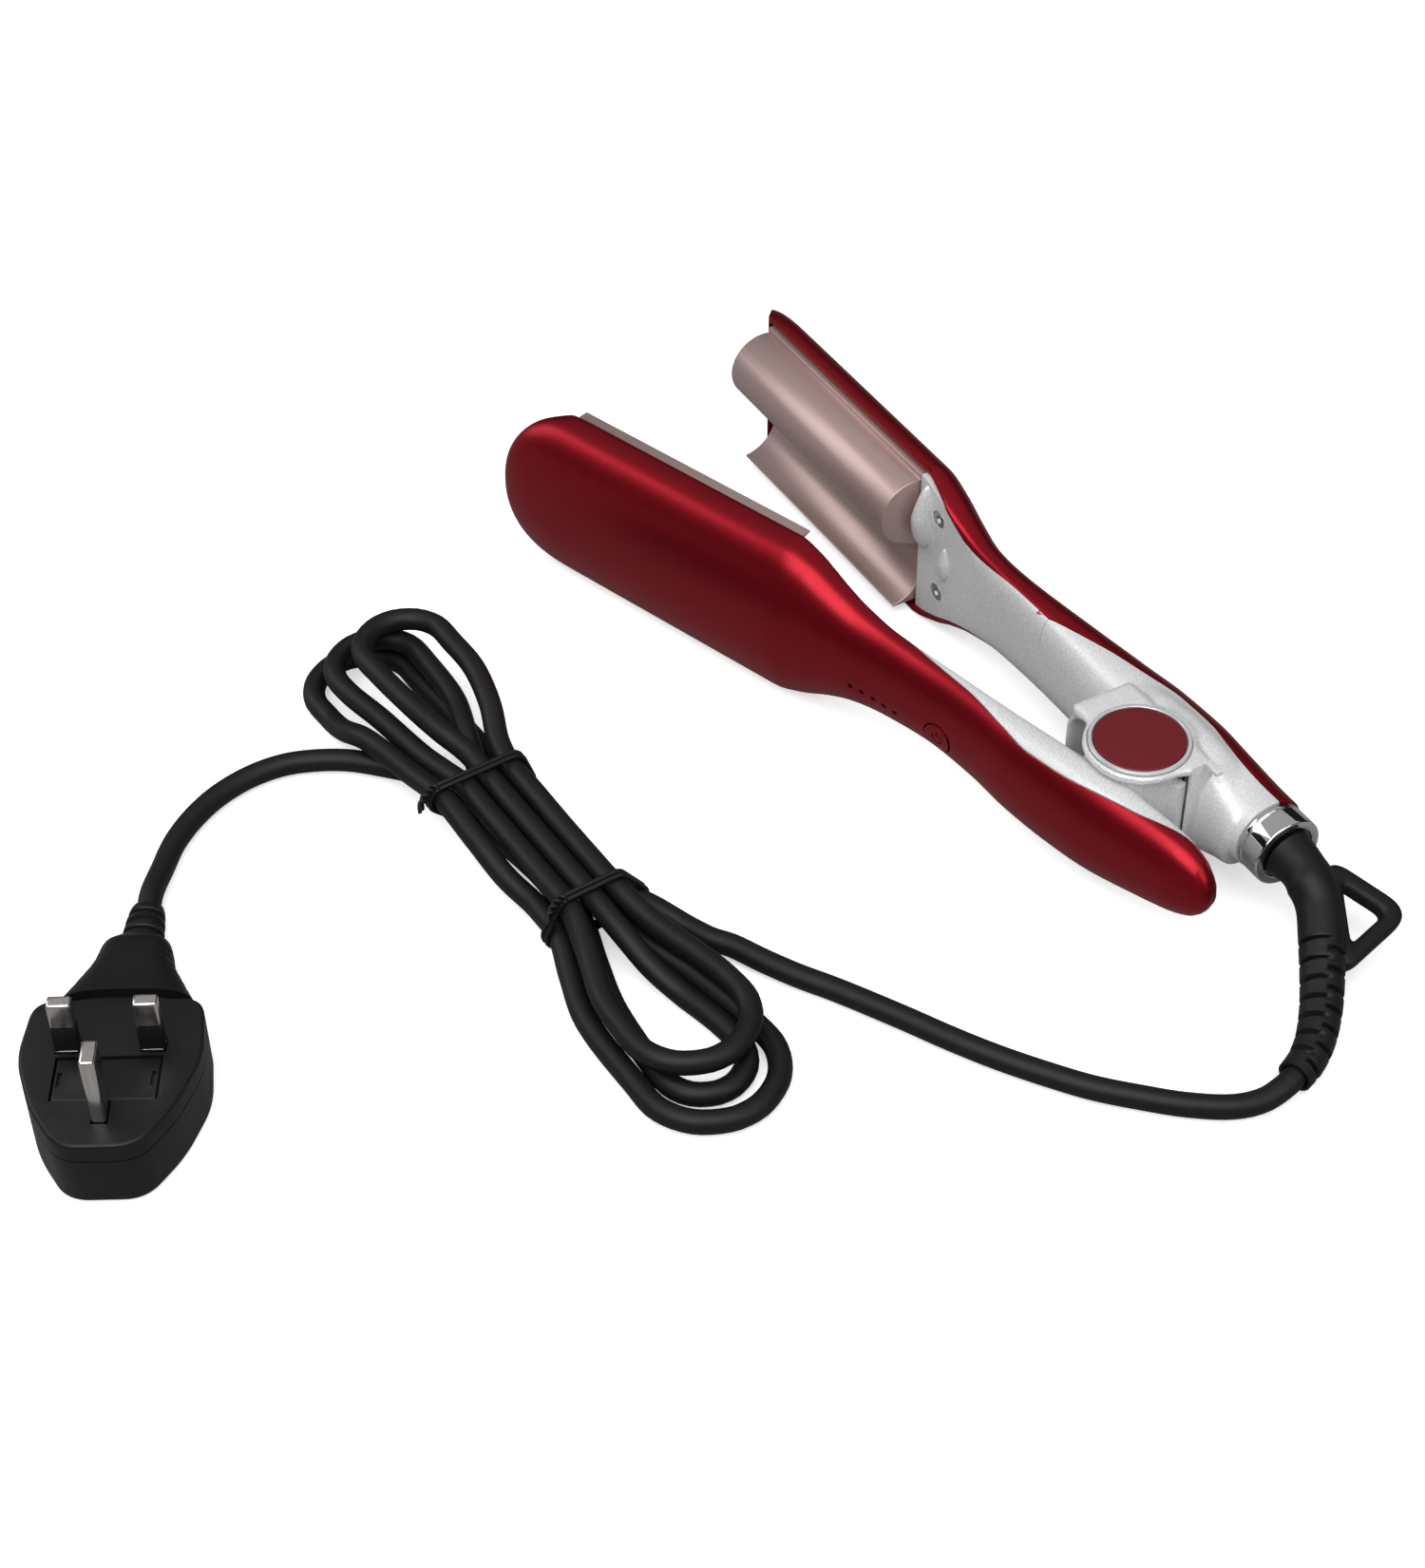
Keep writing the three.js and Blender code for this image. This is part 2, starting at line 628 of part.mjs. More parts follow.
const pastCollar = (margin) => collarBar(-collarLength - margin, 40, 40, 12);
const spigotRoom = () => collarBar(-20, 1, spigotRadius + clearance);
const spigotBore = () => collarBar(-16, 1, bushRadius + clearance);
const spigot = () => collarBar(-15, -1.5, spigotRadius);

const collar = () => collarSolid([
  [spigotRadius + clearance, clearance - collarLength],
  [collarRadius - 0.4, clearance - collarLength],
  [collarRadius, 0.8 - collarLength],
  [collarRadius, -0.6],
  [collarRadius - 0.6, 0],
  [bootBase + 0.6, 0],
  [bootBase + 0.6, -1.2],
  [spigotRadius + clearance, -1.2],
  [spigotRadius + clearance, clearance - collarLength],
], 36);

const swivelBush = () => collarSolid([
  [neckRadius + clearance, -8], [bushRadius, -8], [bushRadius, -0.4],
  [neckRadius + clearance, -0.4], [neckRadius + clearance, -8]]);

// The strain relief's middle line behind the collar, and its open end where the lead comes out.
const bootLine = new THREE.CatmullRomCurve3([
  collarPlace.clone().addScaledVector(swivelAxis, 0.4),
  new THREE.Vector3(-48, -21.5, 22.7), new THREE.Vector3(-54.4, -21.4, 21),
  new THREE.Vector3(-61, -18.9, 18.4), new THREE.Vector3(-68.6, -14, 15.4),
  new THREE.Vector3(-77, -8.1, 12), new THREE.Vector3(-85, -1.7, 9.2),
  new THREE.Vector3(-91.5, 5, 7.2), new THREE.Vector3(-95.6, 11.2, 6.1),
  new THREE.Vector3(-97.8, 16.6, 5.6),
]);

function strainRelief() {
  const steps = 20;
  const points = bootLine.getSpacedPoints(steps);
  const radiusAt = (t) => (t < 0.3 ? bootRadius + (bootBase - bootRadius) * Math.max(1 - t * 9, 0)
    : bootRadius + (bootMouth - bootRadius) * ((t - 0.3) / 0.7) ** 1.4);
  const body = solid(sweep(points, (t) => circle(radiusAt(t), 12)));
  const mouthBore = solid(sweep(
    [...bootLine.getSpacedPoints(40).slice(36), flatPoint(leadPoints[0])],
    () => circle(cordDiameter / 2 + 2 * clearance, 12)));
  const neck = join(collarBar(-10, 2, neckRadius, 20), collarBar(-10, -8.4, bushRadius - 1, 20));
  return cut(join(body, neck, hangerLoop()), mouthBore, ...bootSlots(radiusAt));
}

// Slots across the bend relief, on its two sides in turn.
function bootSlots(radiusAt) {
  return Array.from({ length: slotCount }, (_, k) => {
    const t = 0.42 + (0.53 * k) / (slotCount - 1);
    const point = bootLine.getPointAt(t);
    const ahead = bootLine.getTangentAt(t);
    const side = new THREE.Vector3(0, 0, 1).cross(ahead).normalize();
    const up = ahead.clone().cross(side);
    const radius = radiusAt(t);
    const way = k % 2 ? 1 : -1;
    const geometry = new THREE.BoxGeometry(1.5, radius * 0.9, radius * 2.4);
    geometry.translate(0, way * radius * 0.95, 0);
    geometry.applyMatrix4(new THREE.Matrix4().makeBasis(ahead, side, up));
    geometry.translate(point.x, point.y, point.z);
    return solid(geometry);
  });
}

// The three-cornered hanging loop, a flat ring that slopes down from the strain relief.
const loopCorners = [[-49.4, -30, 20], [-69.8, -42.4, 11.5], [-77.6, -14.5, 10.8], [-57, -21, 19]];
function hangerLoop() {
  const [root, tip, foot, spine] = loopCorners.map((corner) => new THREE.Vector3(...corner));
  const along = foot.clone().sub(root).normalize();
  const normal = along.clone().cross(tip.clone().sub(root)).normalize();
  const across = normal.clone().cross(along);
  const flat = (point) => {
    const offset = point.clone().sub(root);
    return new THREE.Vector2(offset.dot(along), offset.dot(across));
  };
  const corners = [root, tip, foot, spine].map(flat);
  const outline = (corner, inset) => {
    const middle = corners.slice(0, 3).reduce((sum, p) => sum.add(p), new THREE.Vector2())
      .multiplyScalar(1 / 3);
    return roundedShape(corners.slice(0, 3).map((p) => (
      p.clone().sub(middle).multiplyScalar(inset).add(middle))), corner);
  };
  const thickness = 4.6;
  const extrude = (shape, depth) => {
    const geometry = new THREE.ExtrudeGeometry(shape, { depth, bevelEnabled: false, curveSegments: 5 });
    geometry.translate(0, 0, -depth / 2);
    geometry.applyMatrix4(new THREE.Matrix4().makeBasis(along, across, normal));
    geometry.translate(root.x, root.y, root.z);
    return solid(geometry);
  };
  return cut(extrude(outline(6, 1.12), thickness), extrude(outline(3, 0.6), thickness * 3));
}

// A polygon with each corner rounded.
function roundedShape(corners, radius) {
  const shape = new THREE.Shape();
  corners.forEach((corner, i) => {
    const before = corners[(i + corners.length - 1) % corners.length];
    const after = corners[(i + 1) % corners.length];
    const arrive = corner.clone().add(before.clone().sub(corner).setLength(radius));
    const leave = corner.clone().add(after.clone().sub(corner).setLength(radius));
    if (i === 0) shape.moveTo(arrive.x, arrive.y);
    else shape.lineTo(arrive.x, arrive.y);
    shape.quadraticCurveTo(corner.x, corner.y, leave.x, leave.y);
  });
  return shape;
}

// --- Plates, heaters and controls ---------------------------------------------------------------

// The plate's front as [out, z]: flange, barrel, trough and lip, for the fixed arm.
function plateOutline() {
  const barrel = [barrelInset, paddleMiddle + barrelRise];
  const trough = [-barrelInset, paddleMiddle - barrelRise];
  const meet = Math.atan2(trough[1] - barrel[1], trough[0] - barrel[0]);
  const start = Math.PI / 2 - Math.asin(0.2);
  const barrelArc = Array.from({ length: 13 }, (_, k) => {
    const angle = start + ((meet + 2 * Math.PI - start) * k) / 12;
    return [barrel[0] + barrelRadius * Math.cos(angle), barrel[1] + barrelRadius * Math.sin(angle)];
  });
  const open = meet + Math.PI;
  const troughArc = Array.from({ length: 11 }, (_, k) => {
    const angle = open - ((open + lipTurn) * (k + 1)) / 11;
    return [trough[0] + troughRadius * Math.cos(angle), trough[1] + troughRadius * Math.sin(angle)];
  });
  const last = troughArc[troughArc.length - 1];
  return [
    [plateBack, flangeHeight],
    [barrelArc[0][0], flangeHeight],
    ...barrelArc,
    ...troughArc,
    [last[0] + 0.3, lipHeight],
    [plateBack, lipHeight],
  ];
}

// The moving arm's plate is the fixed one turned half a turn about the arm.
const overZ = (z, side) => (side < 0 ? z : paddleHeight - z);

function plate(side) {
  const outline = plateOutline().map(([out, z]) => [out, overZ(z, side)]);
  const body = alongPrism(outline, side, plateStart, plateEnd);
  return cut(body, heaterRoom(side, sheetWall, 0, 2));
}

// The barrel's hollow, open to the plate's back, or the heater that fills it.
function heaterRoom(side, wall, inset, ends) {
  const middle = overZ(paddleMiddle + barrelRise, side);
  const bar = rod([plateStart + ends, side * barrelInset, middle], [plateEnd - ends, side * barrelInset,
    middle], barrelRadius - wall, barrelRadius - wall, 20);
  const back = armBlock([plateStart, -30, 0], [plateEnd, plateBack + (inset ? -inset : 1), 70], side);
  return bar.intersect(back);
}

const heater = (side) => heaterRoom(side, sheetWall + clearance, clearance, 8);

const insulator = (side) => armBlock(
  [plateStart + 5, plateBack + clearance, paddleMiddle - 20],
  [plateEnd - 5, plateBack + clearance + 0.8, paddleMiddle + 20], side);

function thermalFuse() {
  const out = plateBack + 0.8 + 2 * clearance + 2.2;
  return rod([plateStart + 30, -out, paddleMiddle], [plateStart + 44, -out, paddleMiddle], 2.2, 2.2, 16);
}

function screw(x, z, side) {
  const head = armRod(x, z, coverFace, coverFace + 1, screwHead, side, 20);
  const shank = armRod(x, z, coverFace + 0.9, 12, screwShank, side, 12);
  const star = armRod(x, z, coverFace - 1, coverFace + 0.6, 1.4, side, 6);
  return cut(join(head, shank), star);
}

const lightPlaces = () => Array.from({ length: lightCount }, (_, k) => (
  [lightStart[0] + k * lightPitch, lightStart[1] + k * 0.42]));

const boardTop = boardLevel + boardThickness;
const controlBoard = () => armBlock([46, boardLevel, 17], [95, boardTop, 30], 1);

function light([x, z]) {
  return armRod(x, z, boardTop + clearance, 16.7, lightRadius, 1, 12, lightRadius * 0.8);
}

function buttonSwitch() {
  const [x, z] = buttonPlace;
  const base = armBlock([x - 3, boardTop + clearance, z - 3], [x + 3, boardTop + 1.2, z + 3], 1);
  return join(base, armRod(x, z, boardTop + 1, boardTop + 1.7, 1.6, 1, 16));
}

function powerButton() {
  const [x, z] = buttonPlace;
  const foot = boardTop + 2.5;
  const profile = [[0, foot], [buttonRadius, foot], [buttonRadius, 16.7], [buttonRadius - 0.7, 17.2],
    [buttonRadius * 0.5, 17.5], [0, 17.6]];
  const geometry = turned(profile, 20);
  geometry.rotateX(-Math.PI / 2);
  geometry.translate(x, 0, z);
  return geometry;
}

// --- Lead ---------------------------------------------------------------------------------------

const flatPoint = ([x, y, z = cordRest]) => new THREE.Vector3(x, y, z);

// The lead's free run from the strain relief to the hank, laid on the table.
const leadPoints = [[-98.8, 20.6, 5], [-99.1, 27.4, 3.9], [-96.9, 35.2], [-90.1, 45.6],
  [-81.7, 54.8], [-72.6, 63.7], [-62.2, 71.7], [-51, 79.4], [-38.9, 86.6], [-26.1, 93.5],
  [-8.3, 103.7], [1.5, 110], [11.4, 115.4], [20.6, 119.9]];
// The run from the hank to the plug.
const tailPoints = [[136.6, 172.3], [143.3, 179.4], [148, 187.2], [151.4, 196.7], [151.8, 207.3],
  [149.2, 218.6], [144.1, 228.7], [137, 237.8], [129.2, 244.6]];

// A run's last point and the one before it, straight up to a piece that it meets.
function meeting(from, to) {
  const way = hankPlace(from).sub(hankPlace(to)).setZ(0).normalize();
  const end = hankPlace(from).addScaledVector(way, clearance);
  return [end, end.clone().addScaledVector(way, cordDiameter)];
}

function leadLine() {
  const [end, before] = meeting(...run.arriving);
  return [...[0.93, 0.965, 1].map((t) => bootLine.getPointAt(t)), ...leadPoints.map(flatPoint), before, end];
}

function tailLine() {
  const [start, after] = meeting(run.leaving[1], run.leaving[0]);
  const heading = new THREE.Vector3(Math.cos(plugHeading), Math.sin(plugHeading), 0);
  const end = new THREE.Vector3(plugStart.x, plugStart.y, plugEntry).addScaledVector(heading, 1.6);
  return [start, after, ...tailPoints.map(flatPoint), end.clone().addScaledVector(heading, -cordDiameter), end];
}

function cordRun(points, turnSteps) {
  const curve = new THREE.CatmullRomCurve3(points, false, 'centripetal');
  const section = new THREE.Shape(circle(cordDiameter / 2, cordSides).map(([a, b]) => (
    new THREE.Vector2(a, b))));
  return new THREE.ExtrudeGeometry(section, { steps: turnSteps, bevelEnabled: false, extrudePath: curve });
}

// The hank is drawn as [along, across, height]; across is positive towards the tool. Its waist
// is lifted by the wire ties that pass below it.
const waistShare = (along) => 1 - THREE.MathUtils.smoothstep(Math.abs(along), tieSpan + 2, tieSpan + 20);
const hankPlace = ([along, across, height]) => new THREE.Vector3(
  hankCentre.x + along * Math.cos(hankTurn) - across * Math.sin(hankTurn),
  hankCentre.y + along * Math.sin(hankTurn) + across * Math.cos(hankTurn),
  height + waistLift * waistShare(along));

const low = cordRest;
const middleLayer = cordRest + layer;
const topLayer = middleLayer + layer;

// Each straight run between the ties, from the far tie's side or back, as [along, across, height].
const run = {
  first: [[28, 12.8, low], [18, 11.4, low], [2, 11.3, low], [-14, 11.3, low], [-tieSpan, 11.2, low]],
  second: [[-tieSpan, -14.6, middleLayer], [-10, -14.8, middleLayer - 1], [5, -13.6, low + 2.4],
    [16, -11.3, low], [24, -11.3, low], [tieSpan, -11.4, low]],
  third: [[tieSpan, 3.9, low], [24, 3.9, low], [16, 3.8, low], [0, 3.75, low], [-tieSpan, 2.2, low]],
  fourth: [[-tieSpan, -6.6, middleLayer], [-18, -6.7, middleLayer], [0, -6.9, middleLayer], [18, -7.2, middleLayer],
    [tieSpan, -7.5, middleLayer]],
  fifth: [[tieSpan, 7.5, middleLayer], [18, 7.6, middleLayer], [0, 7.9, middleLayer],
    [-18, 8.5, middleLayer], [-tieSpan, 8.7, middleLayer]],
  sixth: [[-tieSpan, 1, middleLayer], [-18, 0.8, middleLayer], [0, 0.5, middleLayer], [18, 0.2, middleLayer],
    [tieSpan, 0, middleLayer]],
  seventh: [[tieSpan, -3.8, low], [24, -3.8, low], [16, -3.8, low], [6, -3.8, low], [-12, -5.6, low],
    [-tieSpan, -7.4, low], [-38, -8.2, low]],
  leaving: [[-44, -9, low], [-51, -10.4, low]],
  arriving: [[53, 23.4, low], [46, 20.6, low]],
};

// A fold at one end: straight out to the bend's start, half a turn, and back. The lead-out and
// lead-in points set how it fans from the waist.
function fold(end, reach, centre, radius, height, out, back, way) {
  const start = reach - radius;
  const arc = [15, 45, 75, 90, 105, 135, 165].map((degrees) => {
    const angle = THREE.MathUtils.degToRad(degrees);
    return [end * (start + radius * Math.sin(angle)), centre + way * radius * Math.cos(angle), height];
  });
  return [...out, [end * (start - 6), centre + way * radius * 0.98, height], ...arc,
    [end * (start - 6), centre - way * radius * 0.98, height], ...back];
}

function hankLine() {
  const points = [
    ...run.arriving,
    [36.5, 16.4, low],
    ...run.first,
    ...fold(-1, 109, -5.2, 15.6, low, [[-48, 11, low], [-70, 10.8, low]],
      [[-78, -20.8, low + 2.6], [-66, -19.6, middleLayer], [-45, -16, middleLayer]], 1),
    ...run.second,
    ...fold(1, 111.5, -3.4, 19.6, low, [[44, -16.5, low], [60, -21.4, low]],
      [[60, 12, low], [45, 7.3, low]], -1),
    ...run.third,
    ...fold(-1, 105.5, -0.6, 13.4, middleLayer, [[-40, 3.4, low + 2.6], [-51, 6.2, middleLayer],
      [-66, 11, middleLayer]], [[-72, -11.6, middleLayer], [-50, -9.2, middleLayer], [-40, -8, middleLayer]], 1),
    ...run.fourth,
    ...fold(1, 96.5, -1.4, 17.2, middleLayer, [[45, -11.4, middleLayer], [62, -17, middleLayer]],
      [[62, 13.6, middleLayer], [46, 10, middleLayer]], -1),
    ...run.fifth,
    ...fold(-1, 101, 7, 13, topLayer, [[-40, 10.8, middleLayer + 2], [-52, 15.4, topLayer - 1.4],
      [-68, 19.2, topLayer]], [[-60, -4.4, topLayer], [-50, -2.6, topLayer - 1.2],
      [-40, 0.4, middleLayer + 2.8]], 1),
    ...run.sixth,
    ...fold(1, 101.5, -3.4, 12, low, [[44, 0.8, middleLayer - 0.8], [56, 2.6, low + 3],
      [68, 5.8, low]], [[60, -12.6, low], [45, -8.4, low]], 1),
    ...run.seventh,
    ...run.leaving,
  ];
  return new THREE.CatmullRomCurve3(points.map(hankPlace), false, 'centripetal');
}

// Keeps a point where the line has turned, or gone far enough, since the last one kept.
function thinned(fine, turn, reach) {
  const kept = [fine[0], fine[4]];
  const heading = (i) => fine[i + 1].clone().sub(fine[i]).normalize();
  let last = 4;
  for (let i = 5; i < fine.length - 5; i += 1) {
    const turnedBy = heading(i).angleTo(heading(last));
    if (turnedBy >= turn || fine[i].distanceTo(fine[last]) >= reach) {
      kept.push(fine[i]);
      last = i;
    }
  }
  kept.push(fine[fine.length - 5], fine[fine.length - 1]);
  return kept;
}

// The least clear distance between stretches of a tube that lie apart along it.
function leastGap(line, diameter) {
  let least = Infinity;
  let where = 0;
  const apart = Math.ceil((3 * diameter) / line[0].distanceTo(line[1]));
  for (let i = 0; i < line.length; i += 1) {
    for (let j = i + apart; j < line.length; j += 1) {
      const gap = line[i].distanceTo(line[j]) - diameter;
      if (gap < least) {
        least = gap;
        where = [i, j];
      }
    }
  }
  return [least, where];
}

// The hank's route in even short steps, and the few of them that its tube is drawn on.
const hankFine = hankLine().getSpacedPoints(1500).map((point) => point.setZ(Math.max(point.z, low)));
const hankSteps = thinned(hankFine, 0.28, 18);

function cordHank() {
  const [gap, [i, j]] = leastGap(hankFine, cordDiameter);
  console.log('hank least gap to itself', gap.toFixed(2));
  if (gap < 0.4) console.log('close at', hankFine[i].toArray(), hankFine[j].toArray(), i, j);
  return sweep(hankSteps, () => circle(cordDiameter / 2, hankSides));
}

const inHank = ({ x, y, z }) => {
  const [dx, dy] = [x - hankCentre.x, y - hankCentre.y];
  return [dx * Math.cos(hankTurn) + dy * Math.sin(hankTurn), dy * Math.cos(hankTurn) - dx * Math.sin(hankTurn), z];
};

// Where the hank's strands pass a place along it, as [across, height].
function strandsAt(along) {
  const steps = hankSteps.map(inHank);
  const pairs = steps.slice(1).map((step, i) => [steps[i], step]);
  return pairs.filter(([[a], [b]]) => (a - along) * (b - along) <= 0).map(([a, b]) => {
    const share = (along - a[0]) / (b[0] - a[0]);
    return [a[1] + share * (b[1] - a[1]), a[2] + share * (b[2] - a[2])];
  });
}

// A wire tie drawn tight round the hank's waist: the rounded hull of its strands.
function tiePoints(along) {
  const strands = strandsAt(along);
  const reach = (cordDiameter + tieWire) / 2 + 2 * clearance;
  const count = 24;
  return Array.from({ length: count }, (_, k) => {
    const angle = (2 * Math.PI * k) / count;
    const way = [Math.cos(angle), Math.sin(angle)];
    const [across, height] = strands.reduce((best, strand) => (
      strand[0] * way[0] + strand[1] * way[1] > best[0] * way[0] + best[1] * way[1] ? strand : best));
    return hankPlace([along, across + way[0] * reach, 0]).setZ(height + way[1] * reach);
  });
}

function tieBand(along) {
  const points = tiePoints(along);
  const count = points.length;
  const rings = points.map((point, i) => {
    const ahead = points[(i + 1) % count].clone().sub(points[(i + count - 1) % count]).normalize();
    const side = hankPlace([along + 1, 0, 0]).sub(hankPlace([along, 0, 0])).normalize();
    const up = ahead.clone().cross(side).normalize();
    return circle(tieWire / 2, 6).map(([a, b]) => (
      point.clone().addScaledVector(side, a).addScaledVector(up, b)));
  });
  const sides = 6;
  const index = [];
  for (let i = 0; i < count; i += 1) {
    for (let j = 0; j < sides; j += 1) {
      const a = i * sides + j;
      const b = i * sides + ((j + 1) % sides);
      const c = ((i + 1) % count) * sides + j;
      const d = ((i + 1) % count) * sides + ((j + 1) % sides);
      index.push(a, b, c, b, d, c);
    }
  }
  const geometry = new THREE.BufferGeometry();
  geometry.setAttribute('position', new THREE.Float32BufferAttribute(
    rings.flat().flatMap((p) => [p.x, p.y, p.z]), 3));
  geometry.setIndex(index);
  return solid(geometry);
}

// --- Plug ---------------------------------------------------------------------------------------

// The plug lies on its back, pins up. Its parts are drawn with +X away from the lead.
function atPlug(shape) {
  const geometry = shape.isBufferGeometry ? shape : toGeometry(shape);
  geometry.rotateZ(plugHeading);
  geometry.translate(plugStart.x, plugStart.y, 0);
  return geometry;
}

const gripStart = reliefLength + clearance;
const neckStart = gripStart + gripLength;
const bodyStart = neckStart + neckLength;
const pinLine = bodyStart + 17;
const carrierMiddle = pinLine + 11;
const earthLine = pinLine + pinSpacing;

const ovalSection = (width, height, lift, sides = 16, power = 3) => Array.from({ length: sides }, (_, k) => {
  const angle = (2 * Math.PI * (k + 0.5)) / sides;
  const a = Math.cos(angle);
  const b = Math.sin(angle);
  return [(width / 2) * Math.sign(a) * Math.abs(a) ** (2 / power),
    lift + (height / 2) * Math.sign(b) * Math.abs(b) ** (2 / power)];
});

// Sections across the plug's length, from [x, width, height, middle height].
const plugSkin = (rows, power) => solid(skin(rows.map(([x, width, height, lift]) => (
  ovalSection(width, height, lift, 16, power).map(([y, z]) => new THREE.Vector3(x, y, z))))));

function plugRelief() {
  const body = plugSkin([[0, 8.8, 8.8, plugEntry], [2, 9.8, 9.8, 5.1], [reliefLength, 12.4, 11, 6.4]], 2.2);
  const grooves = [4.2, 8, 11.8].map((x) => cut(
    block([x, -9, -1], [x + 1.3, 9, 16]),
    plugSkin([[x - 1, 8, 7.6, 5.6], [x + 3, 8.4, 8, 5.9]], 2.2)));
  const bore = rod([-1, 0, plugEntry], [3, 0, plugEntry], cordDiameter / 2 + clearance, undefined, 16);
  return cut(body, ...grooves, bore);
}

function plugGrip() {
  return plugSkin([
    [gripStart, 15, 13.5, 7.2], [gripStart + 3, 19, 15.5, 8.2], [gripStart + 10, 22, 16.5, 8.9],
    [gripStart + 19, 30, 17.6, 9.5], [neckStart, 37, 18.4, 10.1]], 3.2);
}

function plugBody() {
  const half = plugWidth / 2;
  const end = bodyStart + plugLength;
  const corners = [[bodyStart, -half + 2], [bodyStart + 20, -half], [end - 14, -half * 0.78],
    [end, -half * 0.42], [end, half * 0.42], [end - 14, half * 0.78], [bodyStart + 20, half],
    [bodyStart, half - 2]].map(([x, y]) => new THREE.Vector2(x, y));
  const slab = (depth, lift, corner) => {
    const geometry = new THREE.ExtrudeGeometry(roundedShape(corners, corner),
      { depth, bevelEnabled: true, bevelSize: 1, bevelThickness: 1, bevelSegments: 1, curveSegments: 3 });
    geometry.translate(0, 0, lift);
    return solid(geometry);
  };
  const body = slab(plugThickness - 2, faceHeight - plugThickness + 1, 6);
  const neck = join(
    plugSkin([[neckStart + clearance, 24, 13, 10], [bodyStart + 2, 24, 13, 10]], 6),
    plugSkin([[neckStart + 3, 31, 15, 11], [bodyStart + 2, 31, 15, 11]], 6));
  const rebate = block([carrierMiddle - 7.5, -14, faceHeight - 9], [carrierMiddle + 7.5, 14, faceHeight + 2]);
  const pinHoles = [[pinLine, -pinSpacing / 2, 6.35, 3.95], [pinLine, pinSpacing / 2, 6.35, 3.95],
    [earthLine, 0, 3.95, 8]].map(([x, y, width, depth]) => pinBlock(x, y, width, depth,
    faceHeight - 9, faceHeight + 2, clearance));
  return cut(join(body, neck), rebate, ...pinHoles);
}

const pinBlock = (x, y, width, depth, from, to, grow = 0) => block(
  [x - depth / 2 - grow, y - width / 2 - grow, from - grow],
  [x + depth / 2 + grow, y + width / 2 + grow, to]);

// A pin with its end tapered.
function plugPin(x, y, width, depth, length) {
  const top = faceHeight + length;
  const ring = (z, inset) => [[-1, -1], [1, -1], [1, 1], [-1, 1]].map(([a, b]) => new THREE.Vector3(
    x + a * (depth / 2 - inset), y + b * (width / 2 - inset), z));
  return solid(skin([ring(faceHeight - 8.8, 0), ring(top - 2, 0), ring(top, 1)]));
}

const sleeveLength = 9.2;
function sleevedPin(y) {
  const neck = cut(pinBlock(pinLine, y, 9, 7, faceHeight + clearance, faceHeight + sleeveLength, clearance),
    pinBlock(pinLine, y, 6.35, 3.95, 0, faceHeight + sleeveLength, -0.6));
  return cut(plugPin(pinLine, y, 6.35, 3.95, 17.7), neck);
}

function pinSleeve(y) {
  return cut(pinBlock(pinLine, y, 6.35, 3.95, faceHeight + 2 * clearance, faceHeight + sleeveLength - clearance),
    pinBlock(pinLine, y, 6.35, 3.95, 0, faceHeight + 20, clearance - 0.6));
}

function fuseCarrier() {
  const tray = block([carrierMiddle - 7.1, -13.6, faceHeight - 8.6],
    [carrierMiddle + 7.1, 13.6, faceHeight - 0.4]);
  const room = block([carrierMiddle - 3.6, -12.9, faceHeight - 9.6], [carrierMiddle + 3.6, 12.9, faceHeight - 1.8]);
  return cut(tray, room);
}

const plugFuse = () => rod([carrierMiddle, -12.6, faceHeight - 5.2], [carrierMiddle, 12.6, faceHeight - 5.2],
  3.15, 3.15, 16);

// --- Assembly -----------------------------------------------------------------------------------

const crimper = new THREE.Group();
const movingArm = new THREE.Group();
movingArm.rotation.z = openAngle;
crimper.add(movingArm);

crimper.add(
  piece('fixed_shell', fixedShell(), paint.red),
  piece('fixed_housing', fixedHousing(), paint.silver),
  piece('fixed_plate', plate(-1), paint.rose),
  piece('fixed_heater', heater(-1), paint.ceramic),
  piece('fixed_insulator', insulator(-1), paint.mica),
  piece('thermal_fuse', thermalFuse(), paint.steel),
  piece('hinge_pin', solid(hingePin()), paint.steel),
  piece('torsion_spring', solid(torsionSpring()), paint.steel),
  ...capParts(),
  piece('collar', collar(), paint.chrome),
  piece('swivel_bush', swivelBush(), paint.plastic),
  piece('strain_relief', strainRelief(), paint.rubber),
);
movingArm.add(
  piece('moving_shell', movingShell(), paint.red),
  piece('moving_housing', movingHousing(), paint.silver),
  piece('moving_plate', plate(1), paint.rose),
  piece('moving_heater', heater(1), paint.ceramic),
  piece('moving_insulator', insulator(1), paint.mica),
  piece('control_board', controlBoard(), paint.board),
  piece('button_switch', buttonSwitch(), paint.plastic),
  piece('power_button', solid(powerButton()), paint.red),
);
lightPlaces().forEach((place, k) => movingArm.add(
  piece(`indicator_light_${k + 1}`, light(place), paint.lens)));
screwPlaces.forEach(([x, z], k) => {
  const level = k ? 'lower' : 'upper';
  crimper.add(piece(`fixed_screw_${level}`, screw(x, z, -1), paint.steel));
  movingArm.add(piece(`moving_screw_${level}`, screw(x, z, 1), paint.steel));
});
